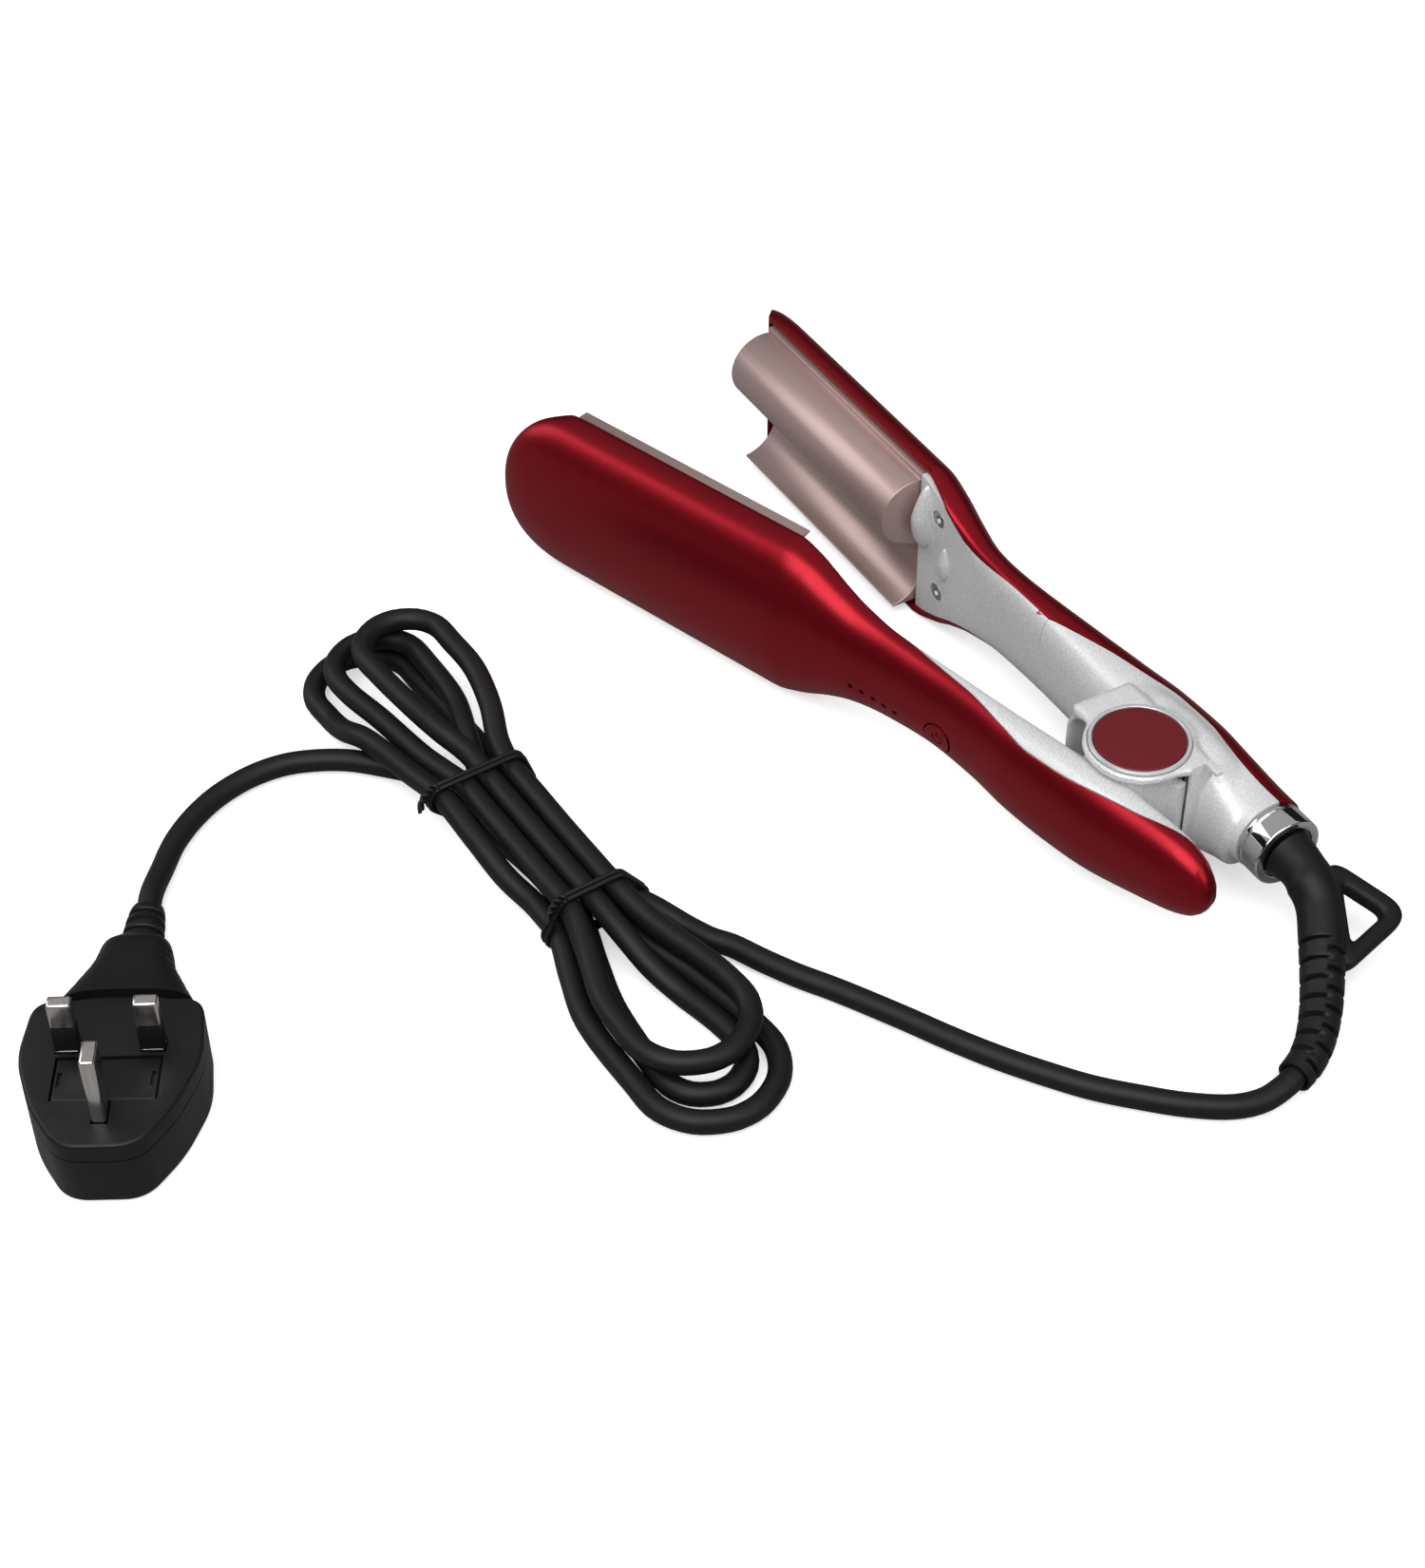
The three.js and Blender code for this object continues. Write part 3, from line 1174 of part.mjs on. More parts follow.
crimper.add(
  piece('cord_lead', solid(cordRun(leadLine(), 28)), paint.rubber),
  piece('cord_hank', solid(cordHank()), paint.rubber),
  piece('cord_tail', solid(cordRun(tailLine(), 17)), paint.rubber),
  piece('tie_far', tieBand(-tieSpan), paint.plastic),
  piece('tie_near', tieBand(tieSpan), paint.plastic),
  piece('plug_relief', atPlug(plugRelief()), paint.rubber),
  piece('plug_grip', atPlug(plugGrip()), paint.rubber),
  piece('plug_body', atPlug(plugBody()), paint.plastic),
  piece('fuse_carrier', atPlug(fuseCarrier()), paint.plastic),
  piece('plug_fuse', atPlug(plugFuse()), paint.ceramic),
  piece('pin_live', atPlug(sleevedPin(pinSpacing / 2)), paint.nickel),
  piece('pin_neutral', atPlug(sleevedPin(-pinSpacing / 2)), paint.nickel),
  piece('pin_earth', atPlug(plugPin(earthLine, 0, 3.95, 8, 22.7)), paint.nickel),
  piece('sleeve_live', atPlug(pinSleeve(pinSpacing / 2)), paint.plastic),
  piece('sleeve_neutral', atPlug(pinSleeve(-pinSpacing / 2)), paint.plastic),
);

export default crimper;
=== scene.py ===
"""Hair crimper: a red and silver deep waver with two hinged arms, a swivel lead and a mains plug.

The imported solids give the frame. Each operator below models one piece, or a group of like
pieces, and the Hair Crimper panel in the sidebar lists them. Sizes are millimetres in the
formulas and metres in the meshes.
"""

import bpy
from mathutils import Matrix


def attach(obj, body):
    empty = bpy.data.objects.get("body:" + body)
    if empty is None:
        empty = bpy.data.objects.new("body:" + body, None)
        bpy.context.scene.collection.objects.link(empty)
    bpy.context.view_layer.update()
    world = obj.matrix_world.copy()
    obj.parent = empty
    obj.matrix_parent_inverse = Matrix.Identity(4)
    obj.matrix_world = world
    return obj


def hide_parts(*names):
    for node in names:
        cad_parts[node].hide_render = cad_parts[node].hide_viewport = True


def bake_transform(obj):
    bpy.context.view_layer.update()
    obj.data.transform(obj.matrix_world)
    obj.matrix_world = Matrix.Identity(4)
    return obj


bl_info = {
    "name": "Hair Crimper",
    "version": (1, 0, 0),
    "blender": (4, 5, 0),
    "location": "View3D > Sidebar > Hair Crimper",
    "description": "Models a hair crimper with wave plates around its packed frame",
    "category": "Add Mesh",
}

import math

import bpy
import numpy as np
from mathutils import Matrix, Vector

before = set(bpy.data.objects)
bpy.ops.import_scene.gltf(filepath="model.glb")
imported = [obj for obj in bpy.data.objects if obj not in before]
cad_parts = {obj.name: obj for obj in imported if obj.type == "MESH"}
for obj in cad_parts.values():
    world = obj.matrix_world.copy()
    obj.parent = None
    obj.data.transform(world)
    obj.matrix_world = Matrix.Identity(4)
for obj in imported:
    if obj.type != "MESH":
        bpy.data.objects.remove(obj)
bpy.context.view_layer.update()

MM = 0.001
OPEN_ANGLE = math.radians(18.7)
CLEARANCE = 0.3
FIXED, MOVING = -1, 1
ARMS = {FIXED: "fixed", MOVING: "moving"}
OWN = "crimper_"


# ---- settings

def colour(name, description, default):
    return bpy.props.FloatVectorProperty(name=name, description=description, default=default,
                                         subtype="COLOR", size=3, min=0, max=1)


class FinishSettings(bpy.types.PropertyGroup):
    """Colours of the painted, plated and moulded surfaces."""
    paint: colour("Shell paint", "Satin metallic red of the shells and the button",
                  (0.36, 0.008, 0.018))
    disc: colour("Hinge disc", "Flat dull red of the hinge discs", (0.19, 0.018, 0.024))
    silver: colour("Silver paint", "Fine sparkling silver of the housings", (0.8, 0.805, 0.81))
    rose: colour("Plate coat", "Rose-gold coat of the wave plates", (0.53, 0.385, 0.365))
    rubber: colour("Rubber", "Black rubber of the lead and its strain relief",
                   (0.007, 0.007, 0.0075))
    plug: colour("Plug plastic", "Black moulded plastic of the plug", (0.008, 0.008, 0.0085))


class DetailSettings(bpy.types.PropertyGroup):
    """Small sizes that a maker may change without touching the frame."""
    around: bpy.props.IntProperty(
        name="Points around", description="Points across half of an arm's section",
        default=56, min=16, max=128)
    voxel: bpy.props.FloatProperty(
        name="Blend grain", description="Voxel size at which the hinge is blended into the arm",
        default=0.85 * MM, min=0.0003, max=0.002, unit="LENGTH")
    cord_sides: bpy.props.IntProperty(
        name="Cord sides", description="Sides of the mains lead", default=20, min=8, max=48)


# ---- helpers

def circle(sides):
    """The angles of so many points round a circle."""
    return np.linspace(0, 2 * np.pi, sides, endpoint=False)


def signed_power(value, power):
    return np.sign(value) * np.abs(value) ** power


def deselect():
    if bpy.context.object and bpy.context.object.mode != "OBJECT":
        bpy.ops.object.mode_set(mode="OBJECT")
    bpy.ops.object.select_all(action="DESELECT")


def activate(obj):
    deselect()
    obj.select_set(True)
    bpy.context.view_layer.objects.active = obj
    return obj


def modify(obj, kind, **values):
    """Adds a modifier with these values and applies it."""
    activate(obj)
    modifier = obj.modifiers.new(kind.title(), kind)
    for key, value in values.items():
        setattr(modifier, key, value)
    bpy.ops.object.modifier_apply(modifier=modifier.name)
    return obj


def combine(obj, other, operation="UNION"):
    """Joins another solid to the object, cuts the object with it, or keeps what both share."""
    modify(obj, "BOOLEAN", object=other, operation=operation, solver="EXACT")
    bpy.data.objects.remove(other)
    return obj


def cut(obj, *tools):
    for tool in tools:
        combine(obj, tool, "DIFFERENCE")
    return obj


def union(obj, *others):
    for other in others:
        combine(obj, other)
    return obj


def joined(pieces):
    """Several objects as one, without a boolean."""
    activate(pieces[0])
    for piece in pieces:
        piece.select_set(True)
    bpy.ops.object.join()
    return pieces[0]


def clean(obj, gap=1e-6):
    """Merges doubles and turns every face outwards."""
    activate(obj)
    bpy.ops.object.mode_set(mode="EDIT")
    bpy.ops.mesh.select_all(action="SELECT")
    bpy.ops.mesh.remove_doubles(threshold=gap)
    bpy.ops.mesh.dissolve_degenerate(threshold=gap)
    bpy.ops.mesh.normals_make_consistent(inside=False)
    bpy.ops.object.mode_set(mode="OBJECT")
    return obj


def surface(name, rows, around=True, ends=True, place=None):
    """A grid primitive laid on rows of points in millimetres, closed around and at its ends."""
    rows = np.asarray(rows, float)
    if around:
        rows = np.concatenate([rows, rows[:, :1]], axis=1)
    count, across = rows.shape[:2]
    deselect()
    bpy.ops.mesh.primitive_grid_add(x_subdivisions=across - 1, y_subdivisions=count - 1)
    obj = bpy.context.object
    points = rows.reshape(-1, 3) if place is None else place(rows.reshape(-1, 3))
    obj.data.vertices.foreach_set("co", (points * MM).ravel())
    obj.data.update()
    clean(obj, 2e-6)
    if ends:
        bpy.ops.object.mode_set(mode="EDIT")
        bpy.ops.mesh.select_all(action="DESELECT")
        bpy.ops.mesh.select_non_manifold()
        bpy.ops.mesh.fill_holes(sides=0)
        bpy.ops.mesh.select_all(action="SELECT")
        bpy.ops.mesh.normals_make_consistent(inside=False)
        bpy.ops.object.mode_set(mode="OBJECT")
    obj.name = obj.data.name = name
    return obj


def box(low, high, place=None):
    """A cube primitive between two corners in millimetres."""
    deselect()
    bpy.ops.mesh.primitive_cube_add(size=1)
    obj = bpy.context.object
    low, high = np.array(low, float), np.array(high, float)
    points = np.array([v.co for v in obj.data.vertices])
    points = (low + high) / 2 + points * (high - low)
    points = points if place is None else place(points)
    obj.data.vertices.foreach_set("co", (points * MM).ravel())
    return clean(obj)


def bar(start, end, radius, end_radius=None, sides=64, place=None):
    """A cylinder or cone primitive from one point to another, in millimetres."""
    start, end = (np.array(p, float) for p in (start, end))
    if place is not None:
        start, end = place(np.array([start, end]))
    way = Vector(end - start)
    deselect()
    bpy.ops.mesh.primitive_cone_add(
        vertices=sides, radius1=radius * MM,
        radius2=(radius if end_radius is None else end_radius) * MM, depth=way.length * MM,
        location=Vector((start + end) / 2) * MM,
        rotation=Vector((0, 0, 1)).rotation_difference(way).to_euler())
    obj = bpy.context.object
    bpy.ops.object.transform_apply(location=True, rotation=True, scale=True)
    return obj


def turned(name, profile, origin=(0, 0, 0), axis=(0, 0, 1), sides=96):
    """A part turned round an axis from [radius, height] points; a closed profile makes a ring."""
    axis = Vector(axis).normalized()
    turn = np.array(Vector((0, 0, 1)).rotation_difference(axis).to_matrix())
    rows = [[(r * np.cos(a), r * np.sin(a), h) for a in circle(sides)] for r, h in profile]
    rows = np.array(rows) @ turn.T + np.array(origin, float)
    return surface(name, rows, ends=False)


def rounded(points, radius=0.4, steps=4, closed=False):
    """A profile with its corners rounded, as more points."""
    points = [np.array(p, float) for p in points]
    count = len(points)
    result = []
    for i, corner in enumerate(points):
        if not closed and i in (0, count - 1):
            result.append(corner)
            continue
        before, after = points[i - 1] - corner, points[(i + 1) % count] - corner
        reach = min(radius, 0.45 * np.linalg.norm(before), 0.45 * np.linalg.norm(after))
        first = corner + before / np.linalg.norm(before) * reach
        last = corner + after / np.linalg.norm(after) * reach
        for t in np.linspace(0, 1, steps + 1):
            result.append((1 - t) ** 2 * first + 2 * t * (1 - t) * corner + t ** 2 * last)
    return result


def bevel(obj, width, segments=2, angle=30):
    return modify(obj, "BEVEL", width=width * MM, segments=segments, limit_method="ANGLE",
                  angle_limit=math.radians(angle), harden_normals=False)


def complete(obj, name, angle, body, slot, material, *nodes, side=FIXED):
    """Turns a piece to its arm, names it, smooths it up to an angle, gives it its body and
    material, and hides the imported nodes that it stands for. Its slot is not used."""
    if side == MOVING:
        obj.data.transform(Matrix.Rotation(OPEN_ANGLE, 4, "Z"))
    activate(obj)
    bpy.ops.object.transform_apply(location=True, rotation=True, scale=True)
    obj.name = obj.data.name = name
    bpy.ops.object.shade_smooth_by_angle(angle=math.radians(angle))
    obj.data.materials.clear()
    obj.data.materials.append(finish(material))
    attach(obj, body)
    if nodes:
        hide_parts(*nodes)
    return obj


# ---- materials

def principled(name, color, roughness, metallic=0.0, **sockets):
    """A material on one Principled shader, with the sockets that stay the same all over."""
    material = bpy.data.materials.new(OWN + name)
    material.use_nodes = True
    shader = material.node_tree.nodes["Principled BSDF"]
    shader.inputs["Base Color"].default_value = (*color, 1)
    shader.inputs["Roughness"].default_value = roughness
    shader.inputs["Metallic"].default_value = metallic
    for key, value in sockets.items():
        shader.inputs[key.replace("_", " ")].default_value = value
    return material


def node(tree, kind, **values):
    made = tree.nodes.new(kind)
    for key, value in values.items():
        if key.startswith("in_"):
            made.inputs[key[3:].replace("_", " ")].default_value = value
        else:
            setattr(made, key, value)
    return made


def object_noise(tree, scale, detail, stretch, turn=0.0):
    """Noise on the object's own coordinates, stretched along an axis and turned about Z."""
    coords = node(tree, "ShaderNodeTexCoord")
    mapping = node(tree, "ShaderNodeMapping", vector_type="TEXTURE")
    mapping.inputs["Rotation"].default_value = (0, 0, turn)
    mapping.inputs["Scale"].default_value = stretch
    noise = node(tree, "ShaderNodeTexNoise", in_Scale=scale, in_Detail=detail, in_Roughness=0.6)
    tree.links.new(coords.outputs["Object"], mapping.inputs["Vector"])
    tree.links.new(mapping.outputs["Vector"], noise.inputs["Vector"])
    return noise


def shade_spread(material, noise, spread, low=0.35, high=0.65):
    """The base colour, a little darker and lighter over the noise."""
    tree = material.node_tree
    socket = tree.nodes["Principled BSDF"].inputs["Base Color"]
    color = np.array(socket.default_value[:3])
    ramp = node(tree, "ShaderNodeValToRGB")
    ramp.color_ramp.elements[0].position = low
    ramp.color_ramp.elements[1].position = high
    ramp.color_ramp.elements[0].color = (*(color * (1 - spread)), 1)
    ramp.color_ramp.elements[1].color = (*np.minimum(color * (1 + spread), 1), 1)
    tree.links.new(noise.outputs["Fac"], ramp.inputs["Fac"])
    tree.links.new(ramp.outputs["Color"], socket)


def roughness_spread(material, noise, spread):
    tree = material.node_tree
    socket = tree.nodes["Principled BSDF"].inputs["Roughness"]
    middle = socket.default_value
    spread_map = node(tree, "ShaderNodeMapRange")
    spread_map.inputs["To Min"].default_value = middle - spread
    spread_map.inputs["To Max"].default_value = middle + spread
    tree.links.new(noise.outputs["Fac"], spread_map.inputs["Value"])
    tree.links.new(spread_map.outputs["Result"], socket)


def grain_bump(material, noise, strength, depth):
    tree = material.node_tree
    bump = node(tree, "ShaderNodeBump", in_Strength=strength, in_Distance=depth * MM)
    tree.links.new(noise.outputs["Fac"], bump.inputs["Height"])
    tree.links.new(bump.outputs["Normal"], tree.nodes["Principled BSDF"].inputs["Normal"])


def grained(name, color, roughness, metallic, scale, spread=0.05, rough=0.03, bump=0.0, depth=0.05,
            detail=2.0, stretch=(1, 1, 1), turn=0.0, **sockets):
    """A material with fine grain in its colour, its gloss and its surface."""
    material = principled(name, color, roughness, metallic, **sockets)
    noise = object_noise(material.node_tree, scale, detail, stretch, turn)
    shade_spread(material, noise, spread)
    if rough:
        roughness_spread(material, noise, rough)
    if bump:
        grain_bump(material, noise, bump, depth)
    return material


# Each finish: its colour, or a share of one of the settings, then its roughness, how metallic it
# is, the scale of its grain, and what it doesn't leave as usual.
FINISHES = {
    "shell_paint": (("paint", 1), 0.4, 0.9, 2600, dict(
        spread=0.07, bump=0.05, depth=0.01, Coat_Weight=0.12, Coat_Roughness=0.28)),
    "silver_paint": (("silver", 1), 0.42, 0.28, 3000, dict(
        spread=0.2, rough=0.08, bump=0.2, depth=0.03)),
    "disc_paint": (("disc", 1), 0.5, 0.35, 2200, dict(
        spread=0.04, bump=0.04, depth=0.01, Specular_IOR_Level=0.3)),
    "mirror_chrome": ((0.83, 0.835, 0.845), 0.06, 1.0, 300, dict(spread=0.02, rough=0.02)),
    "satin_ring": ((0.86, 0.865, 0.87), 0.26, 0.62, 1600, dict(spread=0.04)),
    "bare_steel": ((0.52, 0.52, 0.53), 0.32, 1.0, 1400, dict(spread=0.08, bump=0.08, depth=0.02)),
    "pin_nickel": ((0.72, 0.69, 0.66), 0.2, 1.0, 1200, dict(
        spread=0.06, rough=0.06, stretch=(1, 1, 12))),
    "lead_rubber": (("rubber", 1), 0.5, 0.0, 2400, dict(
        spread=0.18, rough=0.07, bump=0.14, depth=0.04, detail=4.0, Specular_IOR_Level=0.32)),
    "plug_plastic": (("plug", 1), 0.42, 0.0, 1900, dict(
        spread=0.12, rough=0.06, bump=0.12, depth=0.03, detail=3.0, Specular_IOR_Level=0.3)),
    "heater_ceramic": ((0.76, 0.73, 0.67), 0.75, 0.0, 900, dict(bump=0.2)),
    "mica_sheet": ((0.46, 0.37, 0.2), 0.55, 0.0, 500, dict(spread=0.2, stretch=(1, 1, 0.2))),
    "board_lacquer": ((0.012, 0.1, 0.04), 0.4, 0.0, 700, dict(spread=0.2)),
    "light_lens": (("paint", 0.2), 0.45, 0.0, 900, dict(Specular_IOR_Level=0.3)),
    # The plate coat's colour streaks run lengthwise along each plate. They are partly brushed grain
    # and partly painted reflection: lighter stripes that stand in for light reflected along the
    # plate.
    **{f"{arm}_plate_coat": (("rose", 1), 0.36, 0.6, 1500, dict(
        spread=0.04, rough=0.02, stretch=(60, 1, 1), turn=turn, Coat_Weight=0.15,
        Coat_Roughness=0.3)) for arm, turn in (("fixed", 0.0), ("moving", OPEN_ANGLE))},
}


def finish(name):
    """The material of this name, made once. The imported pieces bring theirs, so it is prefixed."""
    found = bpy.data.materials.get(OWN + name)
    if found:
        return found
    color, roughness, metallic, scale, extra = FINISHES[name]
    if isinstance(color[0], str):
        setting, share = color
        color = [share * c for c in getattr(bpy.context.scene.crimper_finish, setting)]
    return grained(name, color, roughness, metallic, scale, **extra)


# ---- stage

CAMERA_PLACE = (-0.47674, 0.40814, 0.60242)
CAMERA_PITCH = math.radians(43.078)
CAMERA_HEADING = math.radians(119.604)
CAMERA_ROLL = math.radians(-0.519)
CAMERA_LENS = 68.56
ROOM_RADIUS = 2.4
ROOM_LIGHT = 0.45
FLOOR_BOUNCE = 0.28
FLOOR_GLOW = 0.55


def camera_turn():
    """The camera's turn: level heading, pitched down, then rolled about its own axis."""
    level = Vector((math.sin(CAMERA_HEADING), math.cos(CAMERA_HEADING), 0))
    forward = level * math.cos(CAMERA_PITCH) + Vector((0, 0, -math.sin(CAMERA_PITCH)))
    right = level.cross(Vector((0, 0, 1))).normalized()
    up = right.cross(forward)
    turn = Matrix((right, up, -forward)).transposed()
    return turn @ Matrix.Rotation(CAMERA_ROLL, 3, "Z")


def add_camera():
    data = bpy.data.cameras.new("camera")
    data.lens = CAMERA_LENS
    data.sensor_width = 36
    camera = bpy.data.objects.new("camera", data)
    camera.matrix_world = Matrix.Translation(CAMERA_PLACE) @ camera_turn().to_4x4()
    bpy.context.scene.collection.objects.link(camera)
    bpy.context.scene.camera = camera


def light_world():
    """White where the camera sees it, and a soft grey room for the light and the reflections."""
    world = bpy.data.worlds.new("studio")
    world.use_nodes = True
    bpy.context.scene.world = world
    tree = world.node_tree
    seen = tree.nodes["Background"]
    seen.inputs["Color"].default_value = (1, 1, 1, 1)
    light = node(tree, "ShaderNodeBackground", in_Strength=ROOM_LIGHT)
    path = node(tree, "ShaderNodeLightPath")
    mix = node(tree, "ShaderNodeMixShader")
    tree.links.new(path.outputs["Is Camera Ray"], mix.inputs["Fac"])
    tree.links.new(light.outputs[0], mix.inputs[1])
    tree.links.new(seen.outputs[0], mix.inputs[2])
    tree.links.new(mix.outputs[0], tree.nodes["World Output"].inputs["Surface"])


def floor_paper():
    """White paper to the camera, with its shadows, and a darker sheet to what stands on it."""
    material = principled("floor_paper", (FLOOR_BOUNCE,) * 3, 0.9, Specular_IOR_Level=0.1)
    tree = material.node_tree
    shader = tree.nodes["Principled BSDF"]
    path = node(tree, "ShaderNodeLightPath")
    shade = node(tree, "ShaderNodeMapRange")
    shade.inputs["To Min"].default_value = FLOOR_BOUNCE
    shade.inputs["To Max"].default_value = 0.9
    tree.links.new(path.outputs["Is Camera Ray"], shade.inputs["Value"])
    tree.links.new(shade.outputs["Result"], shader.inputs["Base Color"])
    shader.inputs["Emission Color"].default_value = (1, 1, 1, 1)
    glow = node(tree, "ShaderNodeMath", operation="MULTIPLY")
    glow.inputs[1].default_value = FLOOR_GLOW
    tree.links.new(path.outputs["Is Camera Ray"], glow.inputs[0])
    tree.links.new(glow.outputs[0], shader.inputs["Emission Strength"])
    return material


def add_floor():
    deselect()
    bpy.ops.mesh.primitive_plane_add(size=12, location=(0, 0, -0.0004))
    floor = bpy.context.object
    floor.name = "floor"
    floor.data.materials.append(floor_paper())


def add_dark_wall():
    """A dark band round the set, unseen by the camera, that gives paint and chrome their darks."""
    deselect()
    bpy.ops.mesh.primitive_cylinder_add(
        vertices=64, radius=ROOM_RADIUS, depth=1.5, end_fill_type="NOTHING", location=(0, 0, 0.72))
    wall = bpy.context.object
    wall.name = "dark_wall"
    wall.visible_camera = False
    wall.data.materials.append(grained("wall_cloth", (0.02, 0.02, 0.022), 0.9, 0.0, 20))


def add_softbox(name, place, target, size, power):
    data = bpy.data.lights.new(name, "AREA")
    data.shape = "RECTANGLE"
    data.size, data.size_y = size
    data.energy = power
    lamp = bpy.data.objects.new(name, data)
    lamp.location = place
    lamp.rotation_euler = (Vector(target) - Vector(place)).to_track_quat("-Z", "Y").to_euler()
    bpy.context.scene.collection.objects.link(lamp)


# ---- cord and route

CORD_RADIUS = 3.4
CORD_REST = 3.55
LAYER = 7.5
TIE_SPAN = 29.2
TIE_WIRE = 1.6
TIE_PITCH = 1.8
TIE_STRAND, TIE_END = 0.75, 0.6
WAIST_LIFT = 2.5
HANK_CENTRE = (77.28, 150.59)
HANK_TURN = math.radians(183.7)
COLLAR_PLACE = (-42.7, -21.4, 23)

LOW = CORD_REST
MIDDLE = LOW + LAYER
TOP = MIDDLE + LAYER

BOOT_POINTS = [(-43.1, -21.4, 23), (-48, -21.5, 22.7), (-54.4, -21.4, 21), (-61, -18.9, 18.4),
               (-68.6, -14, 15.4), (-77, -8.1, 12), (-85, -1.7, 9.2), (-91.5, 5, 7.2),
               (-95.6, 11.2, 6.1), (-97.8, 16.6, 5.6)]
LEAD_POINTS = [(-98.8, 20.6, 5), (-99.1, 27.4, 3.9), (-96.9, 35.2, LOW), (-90.1, 45.6, LOW),
               (-81.7, 54.8, LOW), (-72.6, 63.7, LOW), (-62.2, 71.7, LOW), (-51, 79.4, LOW),
               (-38.9, 86.6, LOW), (-26.1, 93.5, LOW), (-8.3, 103.7, LOW), (1.5, 110, LOW),
               (11.4, 115.4, LOW), (20.6, 119.9, LOW)]
TAIL_POINTS = [(136.6, 172.3, LOW), (143.3, 179.4, LOW), (148, 187.2, LOW), (151.4, 196.7, LOW),
               (151.8, 207.3, LOW), (149.2, 218.6, LOW), (144.1, 228.7, LOW), (137, 237.8, LOW),
               (129.2, 244.6, LOW)]
PLUG_START = (113.8, 255.1)
PLUG_HEADING = math.radians(151.5)
PLUG_ENTRY = 4.6

# The hank's straight runs between its ties, as along, across and height.
RUNS = {
    "arriving": [(53, 23.4, LOW), (46, 20.6, LOW), (36.5, 16.4, LOW)],
    "first": [(28, 12.8, LOW), (18, 11.4, LOW), (2, 11.3, LOW), (-14, 11.3, LOW),
              (-TIE_SPAN, 11.2, LOW)],
    "second": [(-TIE_SPAN, -14.6, MIDDLE), (-10, -14.8, MIDDLE - 1), (5, -13.6, LOW + 2.4),
               (16, -11.3, LOW), (24, -11.3, LOW), (TIE_SPAN, -11.4, LOW)],
    "third": [(TIE_SPAN, 3.9, LOW), (24, 3.9, LOW), (16, 3.8, LOW), (0, 3.75, LOW),
              (-TIE_SPAN, 2.2, LOW)],
    "fourth": [(-TIE_SPAN, -6.6, MIDDLE), (-18, -6.7, MIDDLE), (0, -6.9, MIDDLE),
               (18, -7.2, MIDDLE), (TIE_SPAN, -7.5, MIDDLE)],
    "fifth": [(TIE_SPAN, 7.5, MIDDLE), (18, 7.6, MIDDLE), (0, 7.9, MIDDLE), (-18, 8.5, MIDDLE),
              (-TIE_SPAN, 8.7, MIDDLE)],
    "sixth": [(-TIE_SPAN, 1, MIDDLE), (-18, 0.8, MIDDLE), (0, 0.5, MIDDLE), (18, 0.2, MIDDLE),
              (TIE_SPAN, 0, MIDDLE)],
    "seventh": [(TIE_SPAN, -3.8, LOW), (24, -3.8, LOW), (16, -3.8, LOW), (6, -3.8, LOW),
                (-12, -5.6, LOW), (-TIE_SPAN, -7.4, LOW), (-38, -8.2, LOW)],
    "leaving": [(-44, -9, LOW), (-51, -10.4, LOW)],
}


def smoothstep(value, low, high):
    t = np.clip((np.asarray(value, float) - low) / (high - low), 0, 1)
    return t * t * (3 - 2 * t)


def catmull(points, fineness=1.0):
    """A centripetal Catmull-Rom line through points, sampled about every fineness millimetres."""
    points = np.array(points, float)
    points = np.concatenate([[2 * points[0] - points[1]], points, [2 * points[-1] - points[-2]]])
    line = []
    for p0, p1, p2, p3 in zip(points, points[1:], points[2:], points[3:]):
        d0, d1, d2 = (max(np.linalg.norm(b - a), 1e-6) ** 0.5
                      for a, b in ((p0, p1), (p1, p2), (p2, p3)))
        m1 = ((p1 - p0) / d0 - (p2 - p0) / (d0 + d1) + (p2 - p1) / d1) * d1
        m2 = ((p2 - p1) / d1 - (p3 - p1) / (d1 + d2) + (p3 - p2) / d2) * d1
        steps = max(int(math.ceil(np.linalg.norm(p2 - p1) / fineness)), 2)
        t = np.linspace(0, 1, steps, endpoint=False)[:, None]
        line.append(p1 + t * m1 + t ** 2 * (3 * (p2 - p1) - 2 * m1 - m2)
                    + t ** 3 * (2 * (p1 - p2) + m1 + m2))
    return np.concatenate([*line, points[-2:-1]])


def even(line, step):
    """The same line in equal steps of about this length."""
    line = np.asarray(line, float)
    run = np.concatenate([[0], np.cumsum(np.linalg.norm(np.diff(line, axis=0), axis=1))])
    stops = np.linspace(0, run[-1], max(int(round(run[-1] / step)), 2) + 1)
    return np.stack([np.interp(stops, run, line[:, k]) for k in range(3)], axis=1)


def hank_place(point):
    along, across, height = point
    lift = WAIST_LIFT * (1 - smoothstep(abs(along), TIE_SPAN + 2, TIE_SPAN + 20))
    return np.array([
        HANK_CENTRE[0] + along * math.cos(HANK_TURN) - across * math.sin(HANK_TURN),
        HANK_CENTRE[1] + along * math.sin(HANK_TURN) + across * math.cos(HANK_TURN),
        height + lift])


def fold(end, reach, centre, radius, height, out, back, way):
    """Half a turn at one end of the hank, with the points that fan out to it and back."""
    start = reach - radius
    arc = [(end * (start + radius * math.sin(a)), centre + way * radius * math.cos(a), height)
           for a in np.radians([15, 45, 75, 90, 105, 135, 165])]
    return [*out, (end * (start - 6), centre + way * radius * 0.98, height), *arc,
            (end * (start - 6), centre - way * radius * 0.98, height), *back]


